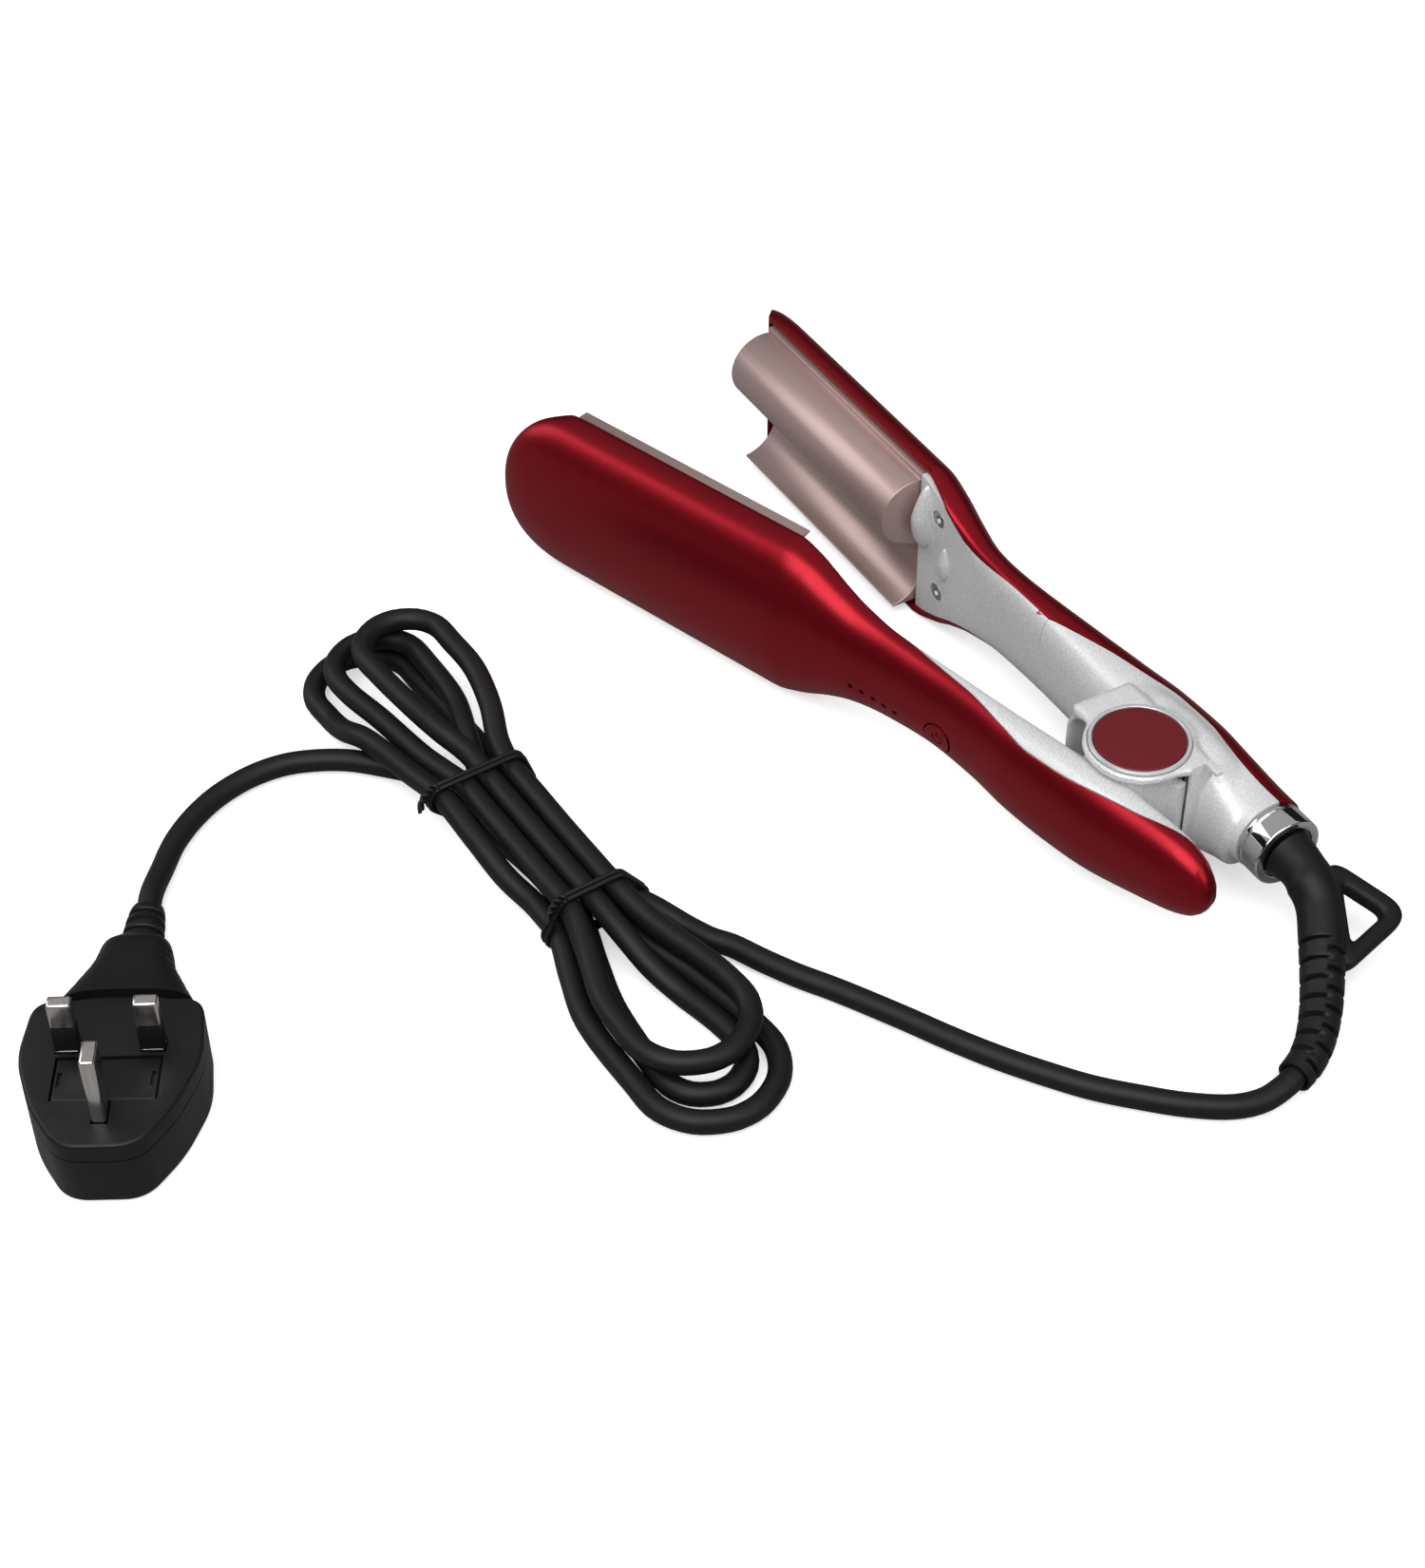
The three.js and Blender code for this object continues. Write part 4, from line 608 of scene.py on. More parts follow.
def hank_line():
    points = [
        *RUNS["arriving"], *RUNS["first"],
        *fold(-1, 109, -5.2, 15.6, LOW, [(-48, 11, LOW), (-70, 10.8, LOW)],
              [(-78, -20.8, LOW + 2.6), (-66, -19.6, MIDDLE), (-45, -16, MIDDLE)], 1),
        *RUNS["second"],
        *fold(1, 111.5, -3.4, 19.6, LOW, [(44, -16.5, LOW), (60, -21.4, LOW)],
              [(60, 12, LOW), (45, 7.3, LOW)], -1),
        *RUNS["third"],
        *fold(-1, 105.5, -0.6, 13.4, MIDDLE,
              [(-40, 3.4, LOW + 2.6), (-51, 6.2, MIDDLE), (-66, 11, MIDDLE)],
              [(-72, -11.6, MIDDLE), (-50, -9.2, MIDDLE), (-40, -8, MIDDLE)], 1),
        *RUNS["fourth"],
        *fold(1, 96.5, -1.4, 17.2, MIDDLE, [(45, -11.4, MIDDLE), (62, -17, MIDDLE)],
              [(62, 13.6, MIDDLE), (46, 10, MIDDLE)], -1),
        *RUNS["fifth"],
        *fold(-1, 101, 7, 13, TOP,
              [(-40, 10.8, MIDDLE + 2), (-52, 15.4, TOP - 1.4), (-68, 19.2, TOP)],
              [(-60, -4.4, TOP), (-50, -2.6, TOP - 1.2), (-40, 0.4, MIDDLE + 2.8)], 1),
        *RUNS["sixth"],
        *fold(1, 101.5, -3.4, 12, LOW,
              [(44, 0.8, MIDDLE - 0.8), (56, 2.6, LOW + 3), (68, 5.8, LOW)],
              [(60, -12.6, LOW), (45, -8.4, LOW)], 1),
        *RUNS["seventh"], *RUNS["leaving"],
    ]
    return catmull([hank_place(p) for p in points])


def plug_place(points):
    """Points drawn along the plug, away from the lead, put where the plug lies."""
    c, s = math.cos(PLUG_HEADING), math.sin(PLUG_HEADING)
    points = np.asarray(points, float)
    return np.stack([PLUG_START[0] + points[..., 0] * c - points[..., 1] * s,
                     PLUG_START[1] + points[..., 0] * s + points[..., 1] * c,
                     points[..., 2]], axis=-1)


def cord_line():
    """The whole lead: out of the strain relief, through the hank, to the plug."""
    boot = catmull(BOOT_POINTS)
    hank = hank_line()
    hank[:, 2] = np.maximum(hank[:, 2], LOW)
    inside, mouth = boot[-8], boot[-1]
    lead = catmull([inside, mouth, *LEAD_POINTS, hank[0], hank[4]])
    entry = plug_place([(-2 * CORD_RADIUS, 0, PLUG_ENTRY), (1.6, 0, PLUG_ENTRY)])
    tail = catmull([hank[-5], hank[-1], *TAIL_POINTS, *entry])
    join = lambda line, point: int(np.argmin(np.linalg.norm(line - point, axis=1)))
    whole = np.concatenate([lead[:join(lead, hank[0])], hank, tail[join(tail, hank[-1]) + 1:]])
    line = even(whole, 2.4)
    line[:, 2] = np.maximum(line[:, 2], CORD_RADIUS + 0.12)
    return line


def carried(line, section_at):
    """Rings of a section carried along a line without twist: section_at(share) gives [a, b]."""
    line = np.asarray(line, float)
    ahead = np.gradient(line, axis=0)
    ahead /= np.linalg.norm(ahead, axis=1)[:, None]
    side = Vector((0, 0, 1)).cross(Vector(ahead[0])).normalized()
    rings = []
    for i, point in enumerate(line):
        if i:
            side = Vector(ahead[i - 1]).rotation_difference(Vector(ahead[i])) @ side
        up = Vector(ahead[i]).cross(side)
        section = np.asarray(section_at(i / (len(line) - 1)))
        rings.append(point + section[:, :1] * np.array(side) + section[:, 1:] * np.array(up))
    return np.array(rings)


def ring(radius, sides):
    angles = circle(sides)
    return np.stack([radius * np.cos(angles), radius * np.sin(angles)], axis=1)


def tie_line(along):
    """A wire tie's loop drawn round the strands that pass a place along the hank."""
    c, s = math.cos(HANK_TURN), math.sin(HANK_TURN)
    line = hank_line()
    line[:, 2] = np.maximum(line[:, 2], LOW)
    flat = line[:, :2] - np.array(HANK_CENTRE)
    runs = flat @ np.array([c, s])
    across = flat @ np.array([-s, c])
    passes = [i for i in range(1, len(line)) if (runs[i] - along) * (runs[i - 1] - along) <= 0]
    strands = np.array([(across[i], line[i, 2]) for i in passes])
    reach = CORD_RADIUS + TIE_WIRE / 2 + 0.1
    loop = []
    for angle in circle(48):
        way = np.array([math.cos(angle), math.sin(angle)])
        outer = strands[np.argmax(strands @ way)] + way * reach
        loop.append((*hank_place((along, outer[0], 0))[:2], max(outer[1], TIE_WIRE / 2 + 0.1)))
    return np.array(loop)


# ---- arm shapes

HINGE_HEIGHT = 42.2
CAP_PROUD = 0.8
EAR_THICKNESS = 2.5
EAR_RADIUS = 16.1
CAP_RING = 14.6
CAP_DISC = 13.1
CAP_RECESS = 1.3
KNUCKLE_RADIUS = 13.2
PIN_RADIUS = 3
HOOD_FRONT = 24.5
HOOD_REACH = 7.6
HOOD_REAR = -17.4
HOOD_WALL = 1.9
HOOD_CORNER = 9
RIM_TAPER = 26
COVER_ROOT = 3.9
RIM_EASE = 14
RIM_EDGE = 0.6
RIB_WALL = 1.3
STOP_REACH = -5.5
EAR_SIDE = -40
PADDLE_START = 121
PADDLE_HEIGHT = 55
PADDLE_DEPTH = 20.5
PLATE_START = PADDLE_START + 1
PLATE_END = PLATE_START + 91
PLATE_BACK = 10.2
BARREL_RADIUS = 11.5
BARREL_RISE = 11.3
BARREL_INSET = 3.6
BARREL_WALL = 1.5
TROUGH_RADIUS = BARREL_RADIUS + 0.7
LIP_HEIGHT = 3.3
LIP_TURN = 1.48
FLANGE_HEIGHT = PADDLE_HEIGHT - 3
TIP_START = PLATE_END - 9
TIP_LENGTH = 27
TIP_END = TIP_START + TIP_LENGTH
TIP_DEPTH = 16.5
# The tip's slanted front, as along the tip and out, and the wall behind it.
NOSE = [(7.5, 4), (13, 9), (20, 14.2), (TIP_LENGTH, 18)]
NOSE_WALL = 2.6
RIM_LOW, RIM_HIGH = 4, 7.5
# The raised drops beside each plate: distance behind it, z, half width, half height and rise.
DROPS = [(3.6, 39.5, 3.6, 11.5, 5.2), (14.2, 27.6, 2.6, 6.2, 1.8)]
EDGE = 0.35
COVER_FACE = 5.4
SHELL_WALL = HOUSING_WALL = 2
COLLAR_RADIUS = 10.9
COLLAR_LENGTH = 9
SPIGOT_RADIUS = 9.2
BUSH_RADIUS = 7.5
UPPER_EAR = HINGE_HEIGHT - CAP_PROUD - EAR_THICKNESS
LOWER_EAR = CAP_PROUD
HINGE_MIDDLE = HINGE_HEIGHT / 2
KNEE_GAP = 0.5
KNUCKLE_HALF = HINGE_MIDDLE - LOWER_EAR - EAR_THICKNESS - KNEE_GAP
COLLAR_AXIS = -COLLAR_PLACE[1]
BACK_POWER = 2.3
SCREWS = [(110.9, 42.4), (110.2, 14.6)]
SCREW_HEAD = 2.6
BUTTON_RADIUS = 4.75
BUTTON_GROOVE = 0.5
BUTTON_PROUD = 0.3
BUTTON_SPAN = (13.5, 22)
MARK_DEPTH = 0.35
MARK_RING = (1.5, 1.95)
MARK_STROKE = 0.24
BUTTON_PLACE = (57.4, 19.8)
LIGHT_RADIUS = 0.9
LIGHTS = [(73.7 + 4.1 * k, 19.5 + 0.42 * k) for k in range(5)]

# Stations of each arm behind the paddle: x, middle z, half height, then the "out" of its inner
# face, widest place and back, and the squareness of the inner face.
NECK = [(0.9, 27.5, 25, 2.4, 8.5, 19.5, 6), (0.8, 27.3, 20.5, 4, 8.5, 18.3, 5),
        (0.7, 27, 17, 5, 8.5, 17.4, 4)]
GRIP = {
    FIXED: [(0.575, 26.6, 15.2, 6, 9.6, 18.6, 3), (0.4, 26, 14.8, 6.5, 11.5, 21.6, 3),
            (0.23, 24.6, 15, 7, 14, 25.4, 3)],
    MOVING: [(0.575, 26.5, 15, 6, 9, 16.6, 3), (0.4, 25.5, 14, 6.5, 9.5, 16.8, 3),
             (0.23, 24, 14.5, 7, 11, 18.5, 3)],
}
TAIL = {
    FIXED: [(30, HINGE_MIDDLE + 1.9, KNUCKLE_HALF - 1.7, 7.5, 17, 29, 3),
            (15, HINGE_MIDDLE + 0.9, KNUCKLE_HALF - 0.6, 8.4, 19, 31.4, 3),
            (0, HINGE_MIDDLE + 0.5, KNUCKLE_HALF - 0.4, 8.5, 20.5, 32.2, 3),
            (-15, HINGE_MIDDLE + 1.2, KNUCKLE_HALF - 3.3, 9, COLLAR_AXIS - 0.4,
             COLLAR_AXIS + COLLAR_RADIUS, 2.6),
            (-28, COLLAR_PLACE[2], 11.3, COLLAR_AXIS - COLLAR_RADIUS - 0.6, COLLAR_AXIS,
             COLLAR_AXIS + COLLAR_RADIUS, 2),
            (-50, COLLAR_PLACE[2], COLLAR_RADIUS, COLLAR_AXIS - COLLAR_RADIUS, COLLAR_AXIS,
             COLLAR_AXIS + COLLAR_RADIUS, 2)],
    MOVING: [(30, HINGE_MIDDLE + 1.5, KNUCKLE_HALF - 1.7, 7.5, 13.5, 21.9, 3),
             (15, HINGE_MIDDLE + 0.9, KNUCKLE_HALF - 1.1, 8.4, 15.5, 24, 3),
             (0, HINGE_MIDDLE + 0.5, KNUCKLE_HALF - 1.3, 8.5, 17, 25.4, 3),
             (-15, HINGE_MIDDLE + 0.4, KNUCKLE_HALF - 2.6, 11.5, 17.5, 25.6, 3),
             (-28, 21.5, 12.7, 13, 18.5, 25.6, 2.6), (-36, 21.5, 9.6, 15, 19.5, 25, 2.3),
             (-40, 21.5, 5, 17.2, 20.2, 24, 2), (-41.2, 21.5, 2, 19, 20.4, 22.4, 2)],
}
# The saddle under the hinge's ears: x, half height and back.
SADDLE = [(-30, 10.6, 27), (-24, 12.6, 27.5), (-18, 15.4, 28), (-12, 17.8, 28), (-5, 19, 27.5),
          (4, 19.4, 27), (14, 18.6, 26), (22, 17.2, 25), (30, 16, 24), (38, 14.6, 23)]
# The colour split between shell and housing, seen from above as x and out.
SEAM = {
    FIXED: [(-60, 24.2), (-34, 24.1), (-12, 23.4), (-2.5, 24.1), (10.5, 23.8), (22, 21.5),
            (35, 18.3), (46.5, 14), (56.5, 10.2), (66, 7.1), (72, 5.7)],
    MOVING: [(-60, 15), (-38, 15.5), (-28, 16.8), (-12, 20), (6, 21), (24, 19.5),
             (36, 16.3), (50, 12.3), (60, 10.6), (73, 8.5), (80, 7.2), (88, 5.7)],
}


def cover_start(side):
    return SEAM[side][-1][0]


def steady(x, y, at):
    """A smooth curve through the values y at x that never overshoots them."""
    x, y = np.asarray(x, float), np.asarray(y, float)
    step, rise = np.diff(x), np.diff(y)
    slope = rise / step
    tangent = np.zeros_like(y)
    same = slope[:-1] * slope[1:] > 0
    w1, w2 = 2 * step[1:] + step[:-1], step[1:] + 2 * step[:-1]
    with np.errstate(divide="ignore", invalid="ignore"):
        mean = (w1 + w2) / (w1 / slope[:-1] + w2 / slope[1:])
    tangent[1:-1] = np.where(same, mean, 0)
    tangent[0], tangent[-1] = slope[0], slope[-1]
    i = np.clip(np.searchsorted(x, at, side="right") - 1, 0, len(step) - 1)
    t = (at - x[i]) / step[i]
    return ((2 * t ** 3 - 3 * t ** 2 + 1) * y[i] + (t ** 3 - 2 * t ** 2 + t) * step[i] * tangent[i]
            + (3 * t ** 2 - 2 * t ** 3) * y[i + 1] + (t ** 3 - t ** 2) * step[i] * tangent[i + 1])


def paddle_row(x, scale):
    return (x, PADDLE_HEIGHT / 2, PADDLE_HEIGHT / 2 * scale, TIP_DEPTH + (2 - TIP_DEPTH) * scale,
            TIP_DEPTH + (8.5 - TIP_DEPTH) * scale,
            TIP_DEPTH + (PADDLE_DEPTH - TIP_DEPTH) * scale, 6)


def arm_rows(side):
    """Close stations along an arm: the rounded tip, the level paddle and the curving grip."""
    grip = [(HOOD_FRONT + share * (PADDLE_START - HOOD_FRONT), *row)
            for share, *row in [*NECK, *GRIP[side]]]
    known = np.array([paddle_row(TIP_START, 1), paddle_row(PADDLE_START + 14, 1),
                      paddle_row(PADDLE_START, 1), *grip, *TAIL[side]])[::-1]
    end = known[0, 0]
    stations = np.unique(np.concatenate([
        known[:, 0], np.arange(end, PADDLE_START, 2.5), np.arange(PADDLE_START, TIP_START, 9.0)]))
    rows = [np.concatenate([[x], [steady(known[:, 0], known[:, k], x) for k in range(1, 7)]])
            for x in stations]
    for u in np.sin(np.linspace(0.06, 0.5 * np.pi - 0.06, 18)):
        rows.append(np.array(paddle_row(TIP_START + u * TIP_LENGTH, np.cbrt(1 - u ** 3))))
    return rows


def arm_section(row, inset, count):
    """One superellipse ring of out and z round a station, pulled in by an inset."""
    _, middle, half, inner, widest, back, power = row
    angles = np.pi * (np.arange(count) + 0.5) / (count / 2) - np.pi / 2
    c, s = np.cos(angles), np.sin(angles)
    n = np.where(c > 0, BACK_POWER, power)
    reach = np.maximum(np.where(c > 0, back - widest, widest - inner) - inset, 0.3)
    rise = max(half - inset, 0.3)
    return np.stack([widest + reach * signed_power(c, 2 / n),
                     middle + rise * signed_power(s, 2 / n)], axis=1)


def open_section(row, inset, count):
    """The same ring with its inner half opened towards the other arm."""
    ring_points = arm_section(row, max(inset, SHELL_WALL), count)
    inner = ring_points[:, 0] < row[4]
    ring_points[inner, 1] = row[1] + np.sign(ring_points[inner, 1] - row[1]) * (row[2] - inset)
    ring_points[inner, 0] -= 2 * RIM_HIGH
    ring_points[[count // 2, -1], 0] = row[4] - 0.05
    return ring_points


def arm_skin(name, rows, side, inset, section=arm_section):
    """A closed skin through stations, pulled in by an inset that may change along the arm."""
    count = 2 * bpy.context.scene.crimper_detail.around
    depths = [inset(row[0]) if callable(inset) else inset for row in rows]
    rings = [np.array([(row[0], side * out, z) for out, z in section(row, depth, count)])
             for row, depth in zip(rows, depths)]
    return surface(name, rings)


def rim_width(side, spare=0.0):
    """How wide the shell's rim shows: an edge at the seam's end, its full wall further on."""
    start = cover_start(side)
    return lambda x: spare + RIM_EDGE + (SHELL_WALL - RIM_EDGE) * smoothstep(
        x, start, start + RIM_TAPER)


def prism(name, outline, low=-10, high=70, place=None):
    """An upright prism over an outline of x and y."""
    return surface(name, [[(x, y, z) for x, y in outline] for z in (low, high)], place=place)


def out_prism(name, outline, side):
    """An upright prism over an outline of x and out."""
    return prism(name, [(x, side * out) for x, out in outline])


def along_prism(name, outline, side, start, end):
    """A prism along x over an outline of out and z."""
    return surface(name, [[(x, side * out, z) for out, z in outline] for x in (start, end)])


def arm_block(low, high, side):
    (x0, o0, z0), (x1, o1, z1) = low, high
    return box((x0, min(side * o0, side * o1), z0), (x1, max(side * o0, side * o1), z1))


def arm_rod(x, z, start, end, radius, side, sides=48, end_radius=None):
    return bar((x, side * start, z), (x, side * end, z), radius, end_radius, sides)


def seam_curve(side):
    """The seam as a fine smooth line of x and out."""
    seam = np.array(SEAM[side], float)
    x = np.arange(seam[0, 0], seam[-1, 0] + 0.5, 2.0)
    x[-1] = seam[-1, 0]
    return list(zip(x, steady(seam[:, 0], seam[:, 1], x)))


def outside_seam(side):
    start = cover_start(side)
    outline = [*seam_curve(side), (start + 0.1, -20), (250, -20), (250, 80), (-60, 80)]
    return out_prism("outside", outline, side)


def inside_seam(side, reach=-20):
    """What lies within the seam, as far as this behind the arm's middle plane."""
    inner = [(x, out - CLEARANCE) for x, out in seam_curve(side)]
    return out_prism("inside", [*inner, (cover_start(side), reach), (-60, reach)], side)


def nose_bevel(side, depth):
    """What lies before the tip's slanted front, from the plate's end to the tip."""
    line = catmull([(TIP_START + x, out + depth, 0) for x, out in NOSE], 1.5)
    outline = [(line[0, 0], -20), *line[:, :2], (TIP_END + 9, line[-1, 1]), (TIP_END + 9, -20)]
    return out_prism("nose", outline, side)


def beyond_rim(side):
    """What lies before the shell's sloping rim: the open face, the cover's face and the nose."""
    start = cover_start(side)

    def slope(z):
        level = z if side == FIXED else PADDLE_HEIGHT - z
        return RIM_LOW + (RIM_HIGH - RIM_LOW) * level / PADDLE_HEIGHT
    face = along_prism("face", [(slope(-5), -5), (slope(60), 60), (-20, 60), (-20, -5)],
                       side, PADDLE_START, TIP_END + 5)
    level = COVER_FACE - 0.2
    cover = arm_block((start - 1, -20, -5), (PADDLE_START - RIM_EASE, level, 60), side)
    ease = [[(PADDLE_START - RIM_EASE - 0.1, level), (PADDLE_START + 0.1, slope(z)),
             (PADDLE_START + 0.1, -20), (PADDLE_START - RIM_EASE - 0.1, -20)] for z in (-5, 60)]
    easing = surface("easing", [[(x, side * out, z) for x, out in outline]
                                for outline, z in zip(ease, (-5, 60))])
    return [face, cover, easing, nose_bevel(side, 0)]


def collar_bar(start, end, radius, sides=96):
    """A rod on the swivel's axis; positive runs backwards from the collar's rear face."""
    x, y, z = COLLAR_PLACE
    return bar((x - start, y, z), (x - end, y, z), radius, sides=sides)


def arm_hollow(rows, side):
    """The room inside an arm: the paddle's open mouth, the grip's bore and the nose's."""
    start = cover_start(side)
    paddle = [row for row in rows if start - 10 < row[0] < PLATE_END + 1.5]
    mouth_end = np.array([PLATE_END + 1.5, *paddle[-1][1:]])
    mouth = arm_skin("mouth", [*paddle, mouth_end], side, rim_width(side), open_section)
    grip = arm_skin("bore", [row for row in rows if row[0] < PADDLE_START], side, SHELL_WALL)
    nose = arm_skin("nose_bore", [row for row in rows if row[0] > PADDLE_START], side, SHELL_WALL)
    combine(nose, arm_block((PLATE_END - 5, PLATE_BACK + 1, -5), (TIP_END, 80, 70), side),
            "INTERSECT")
    cut(nose, nose_bevel(side, NOSE_WALL))
    return [mouth, grip, nose]


def arm_shell(side):
    """The painted shell, with its rim rounded, and on the moving arm its control holes."""
    rows = arm_rows(side)
    shell = arm_skin("shell", rows, side, 0)
    cut(shell, *arm_hollow(rows, side), *beyond_rim(side))
    combine(shell, outside_seam(side), "INTERSECT")
    if side == FIXED:
        cut(shell, collar_bar(-COLLAR_LENGTH, 40, 40),
            collar_bar(-20, 1, SPIGOT_RADIUS + CLEARANCE))
    else:
        x, z = BUTTON_PLACE
        cut(shell, arm_rod(x, z, 8, 30, BUTTON_RADIUS + BUTTON_GROOVE, side, 64),
            *[arm_rod(a, b, 8, 30, LIGHT_RADIUS, side, 24) for a, b in LIGHTS])
    return shell


def drop(x, z, half_width, half_height, rise, side):
    """A raised drop, pointed at the flange edge and round at the other, half sunk in the cover."""
    deselect()
    bpy.ops.mesh.primitive_uv_sphere_add(segments=48, ring_count=24, radius=1)
    obj = bpy.context.object
    points = np.array([v.co for v in obj.data.vertices])
    taper = 1 - 0.38 * np.maximum(points[:, 1], 0)
    up = points[:, 1] * (1 if side == FIXED else -1)
    placed_points = np.stack([x + points[:, 0] * half_width * taper,
                              side * (COVER_FACE - points[:, 2] * rise * taper),
                              z + up * half_height], axis=1)
    obj.data.vertices.foreach_set("co", (placed_points * MM).ravel())
    obj.data.update()
    return clean(obj)


def flip(z, side):
    return z if side == FIXED else PADDLE_HEIGHT - z


def cover_plate(rows, side):
    """The flat silver cover between grip and plate, with its two drops and its screw seats."""
    start = cover_start(side)
    near = [row for row in rows if start - 30 < row[0] < PADDLE_START + 20]
    body = arm_skin("cover", near, side, rim_width(side, CLEARANCE / 2), open_section)
    sheet = [(start - 14, COVER_FACE + 1.3), (start + 6, COVER_FACE), (PADDLE_START, COVER_FACE),
             (PADDLE_START, COVER_FACE + HOUSING_WALL),
             (start + RIM_TAPER + 4, COVER_FACE + HOUSING_WALL),
             (start + RIM_TAPER - 4, COVER_FACE + COVER_ROOT),
             (start - 14, COVER_FACE + COVER_ROOT)]
    combine(body, out_prism("sheet", sheet, side), "INTERSECT")
    combine(body, arm_skin("limit", near, side, 0), "INTERSECT")
    for behind, z, width, height, rise in DROPS:
        raised = drop(PADDLE_START - behind, flip(z, side), width, height, rise, side)
        combine(raised, arm_block((0, -20, -5), (PADDLE_START, COVER_FACE + 1, 70), side),
                "INTERSECT")
        union(body, raised)
    for x, z in SCREWS:
        cut(body, arm_rod(x, z, COVER_FACE - 1, COVER_FACE + 1.3, SCREW_HEAD + CLEARANCE, side))
    return body


def arm_body(side):
    """The grip of an arm as one solid, from its tail to where its cover begins."""
    return arm_skin("body", [row for row in arm_rows(side) if row[0] < PADDLE_START - 4], side, 0)


def arm_bore(side, first=-50):
    """The room inside a housing."""
    rows = [row for row in arm_rows(side) if first < row[0] < PADDLE_START]
    return arm_skin("bore", rows, side, HOUSING_WALL)


# ---- hinge

def on_axis(low, high, radius):
    return bar((0, 0, low), (0, 0, high), radius, sides=128)


def ear_bridge(low, high):
    """The plate that ties an ear to the arm's body."""
    outline = [(HOOD_REAR, -13), (HOOD_REAR, STOP_REACH), (-EAR_RADIUS * 0.9, 4),
               (EAR_RADIUS * 0.75, HOOD_REACH), (HOOD_FRONT - HOOD_WALL, HOOD_REACH),
               (HOOD_FRONT - HOOD_WALL, -13)]
    return prism("bridge", outline, low, high)


def hood_frame(start, end, inset, spare=0):
    """A rounded frame across the arm, open at its rear."""
    low, high = LOWER_EAR + 0.4 + inset, UPPER_EAR + 1.5 - inset
    right, corner = end - inset, HOOD_CORNER - inset
    turn = np.linspace(0, np.pi / 2, 12)
    lower = [(right - corner + corner * math.sin(a), low + corner - corner * math.cos(a))
             for a in turn]
    upper = [(right - corner + corner * math.cos(a), high - corner + corner * math.sin(a))
             for a in turn]
    outline = [(start, low), *lower, *upper, (start, high)]
    stations = [(HOOD_REACH + spare, 1), (-4, 1), (-11, 0.97), (-16, 0.9), (-21 - spare, 0.78)]
    return surface("frame", [[(x, y, HINGE_MIDDLE + (z - HINGE_MIDDLE) * grow) for x, z in outline]
                             for y, grow in stations])


def hood():
    """The two ears, the plates that tie them to the arm and the rolled arch before the disc."""
    pieces = [on_axis(low, low + EAR_THICKNESS, EAR_RADIUS) for low in (LOWER_EAR, UPPER_EAR)]
    pieces += [ear_bridge(low, low + EAR_THICKNESS) for low in (LOWER_EAR, UPPER_EAR)]
    arch = hood_frame(HOOD_FRONT - 11, HOOD_FRONT, 0)
    return [*pieces, cut(arch, hood_frame(HOOD_FRONT - 40, HOOD_FRONT, HOOD_WALL, 1))]


def stop_rib():
    """The thin upright rib behind the pivot that the moving arm stops at."""
    rib = box((HOOD_REAR, -12, LOWER_EAR + 1), (HOOD_REAR + RIB_WALL, STOP_REACH, UPPER_EAR + 3.2))
    foot = box((HOOD_REAR - 5, -12, UPPER_EAR + 2),
               (HOOD_REAR + 1, -11 + RIB_WALL, UPPER_EAR + 3.2))
    return bevel(union(rib, foot), 0.3, 2)


def saddle():
    """The swelling that carries the ears' upper and lower faces over into the arm's body."""
    rows = [(x, HINGE_MIDDLE + 0.3, half, 9, 17, back, 2.6) for x, half, back in SADDLE]
    return arm_skin("saddle", rows, FIXED, 0)


def blended(pieces, rounds):
    """Closed solids run into one, with inner corners filleted and edges rounded."""
    voxel = bpy.context.scene.crimper_detail.voxel
    obj = modify(joined(pieces), "REMESH", mode="VOXEL", voxel_size=voxel)
    return modify(obj, "SMOOTH", factor=0.5, iterations=rounds)


def fixed_housing():
    """The housing with the hinge's hood and ears, the stop rib and the swivel's spigot."""
    housing = blended([arm_body(FIXED), saddle(), *hood()], 8)
    combine(housing, inside_seam(FIXED, EAR_SIDE), "INTERSECT")
    cut(housing, collar_bar(-COLLAR_LENGTH, 60, 40), arm_bore(FIXED, -20),
        on_axis(LOWER_EAR + EAR_THICKNESS, UPPER_EAR, KNUCKLE_RADIUS + CLEARANCE))
    union(housing, stop_rib(), collar_bar(-15, -1.5, SPIGOT_RADIUS))
    cut(housing, collar_bar(-30, 1, BUSH_RADIUS + CLEARANCE))
    seat = CAP_RING + CLEARANCE
    cut(housing, on_axis(UPPER_EAR + EAR_THICKNESS - CAP_RECESS, HINGE_HEIGHT + 1, seat),
        on_axis(-1, LOWER_EAR + CAP_RECESS, seat),
        on_axis(-1, HINGE_HEIGHT + 1, PIN_RADIUS + CLEARANCE))
    return union(housing, cover_plate(arm_rows(FIXED), FIXED))


def moving_housing():
    """The housing with the hinge's knuckle."""
    low, high = LOWER_EAR + EAR_THICKNESS + KNEE_GAP, UPPER_EAR - KNEE_GAP
    housing = arm_body(MOVING)
    combine(housing, inside_seam(MOVING), "INTERSECT")
    union(housing, on_axis(low, high, KNUCKLE_RADIUS), box((-9, 0, low + 2), (11, 11, high - 2)),
          box((-16.4, -0.1, low + 3), (-8, 3.4, high - 3)))
    cut(housing, arm_bore(MOVING), on_axis(0, HINGE_HEIGHT, PIN_RADIUS + CLEARANCE))
    return bevel(union(housing, cover_plate(arm_rows(MOVING), MOVING)), EDGE, 2, 40)


# ---- plates

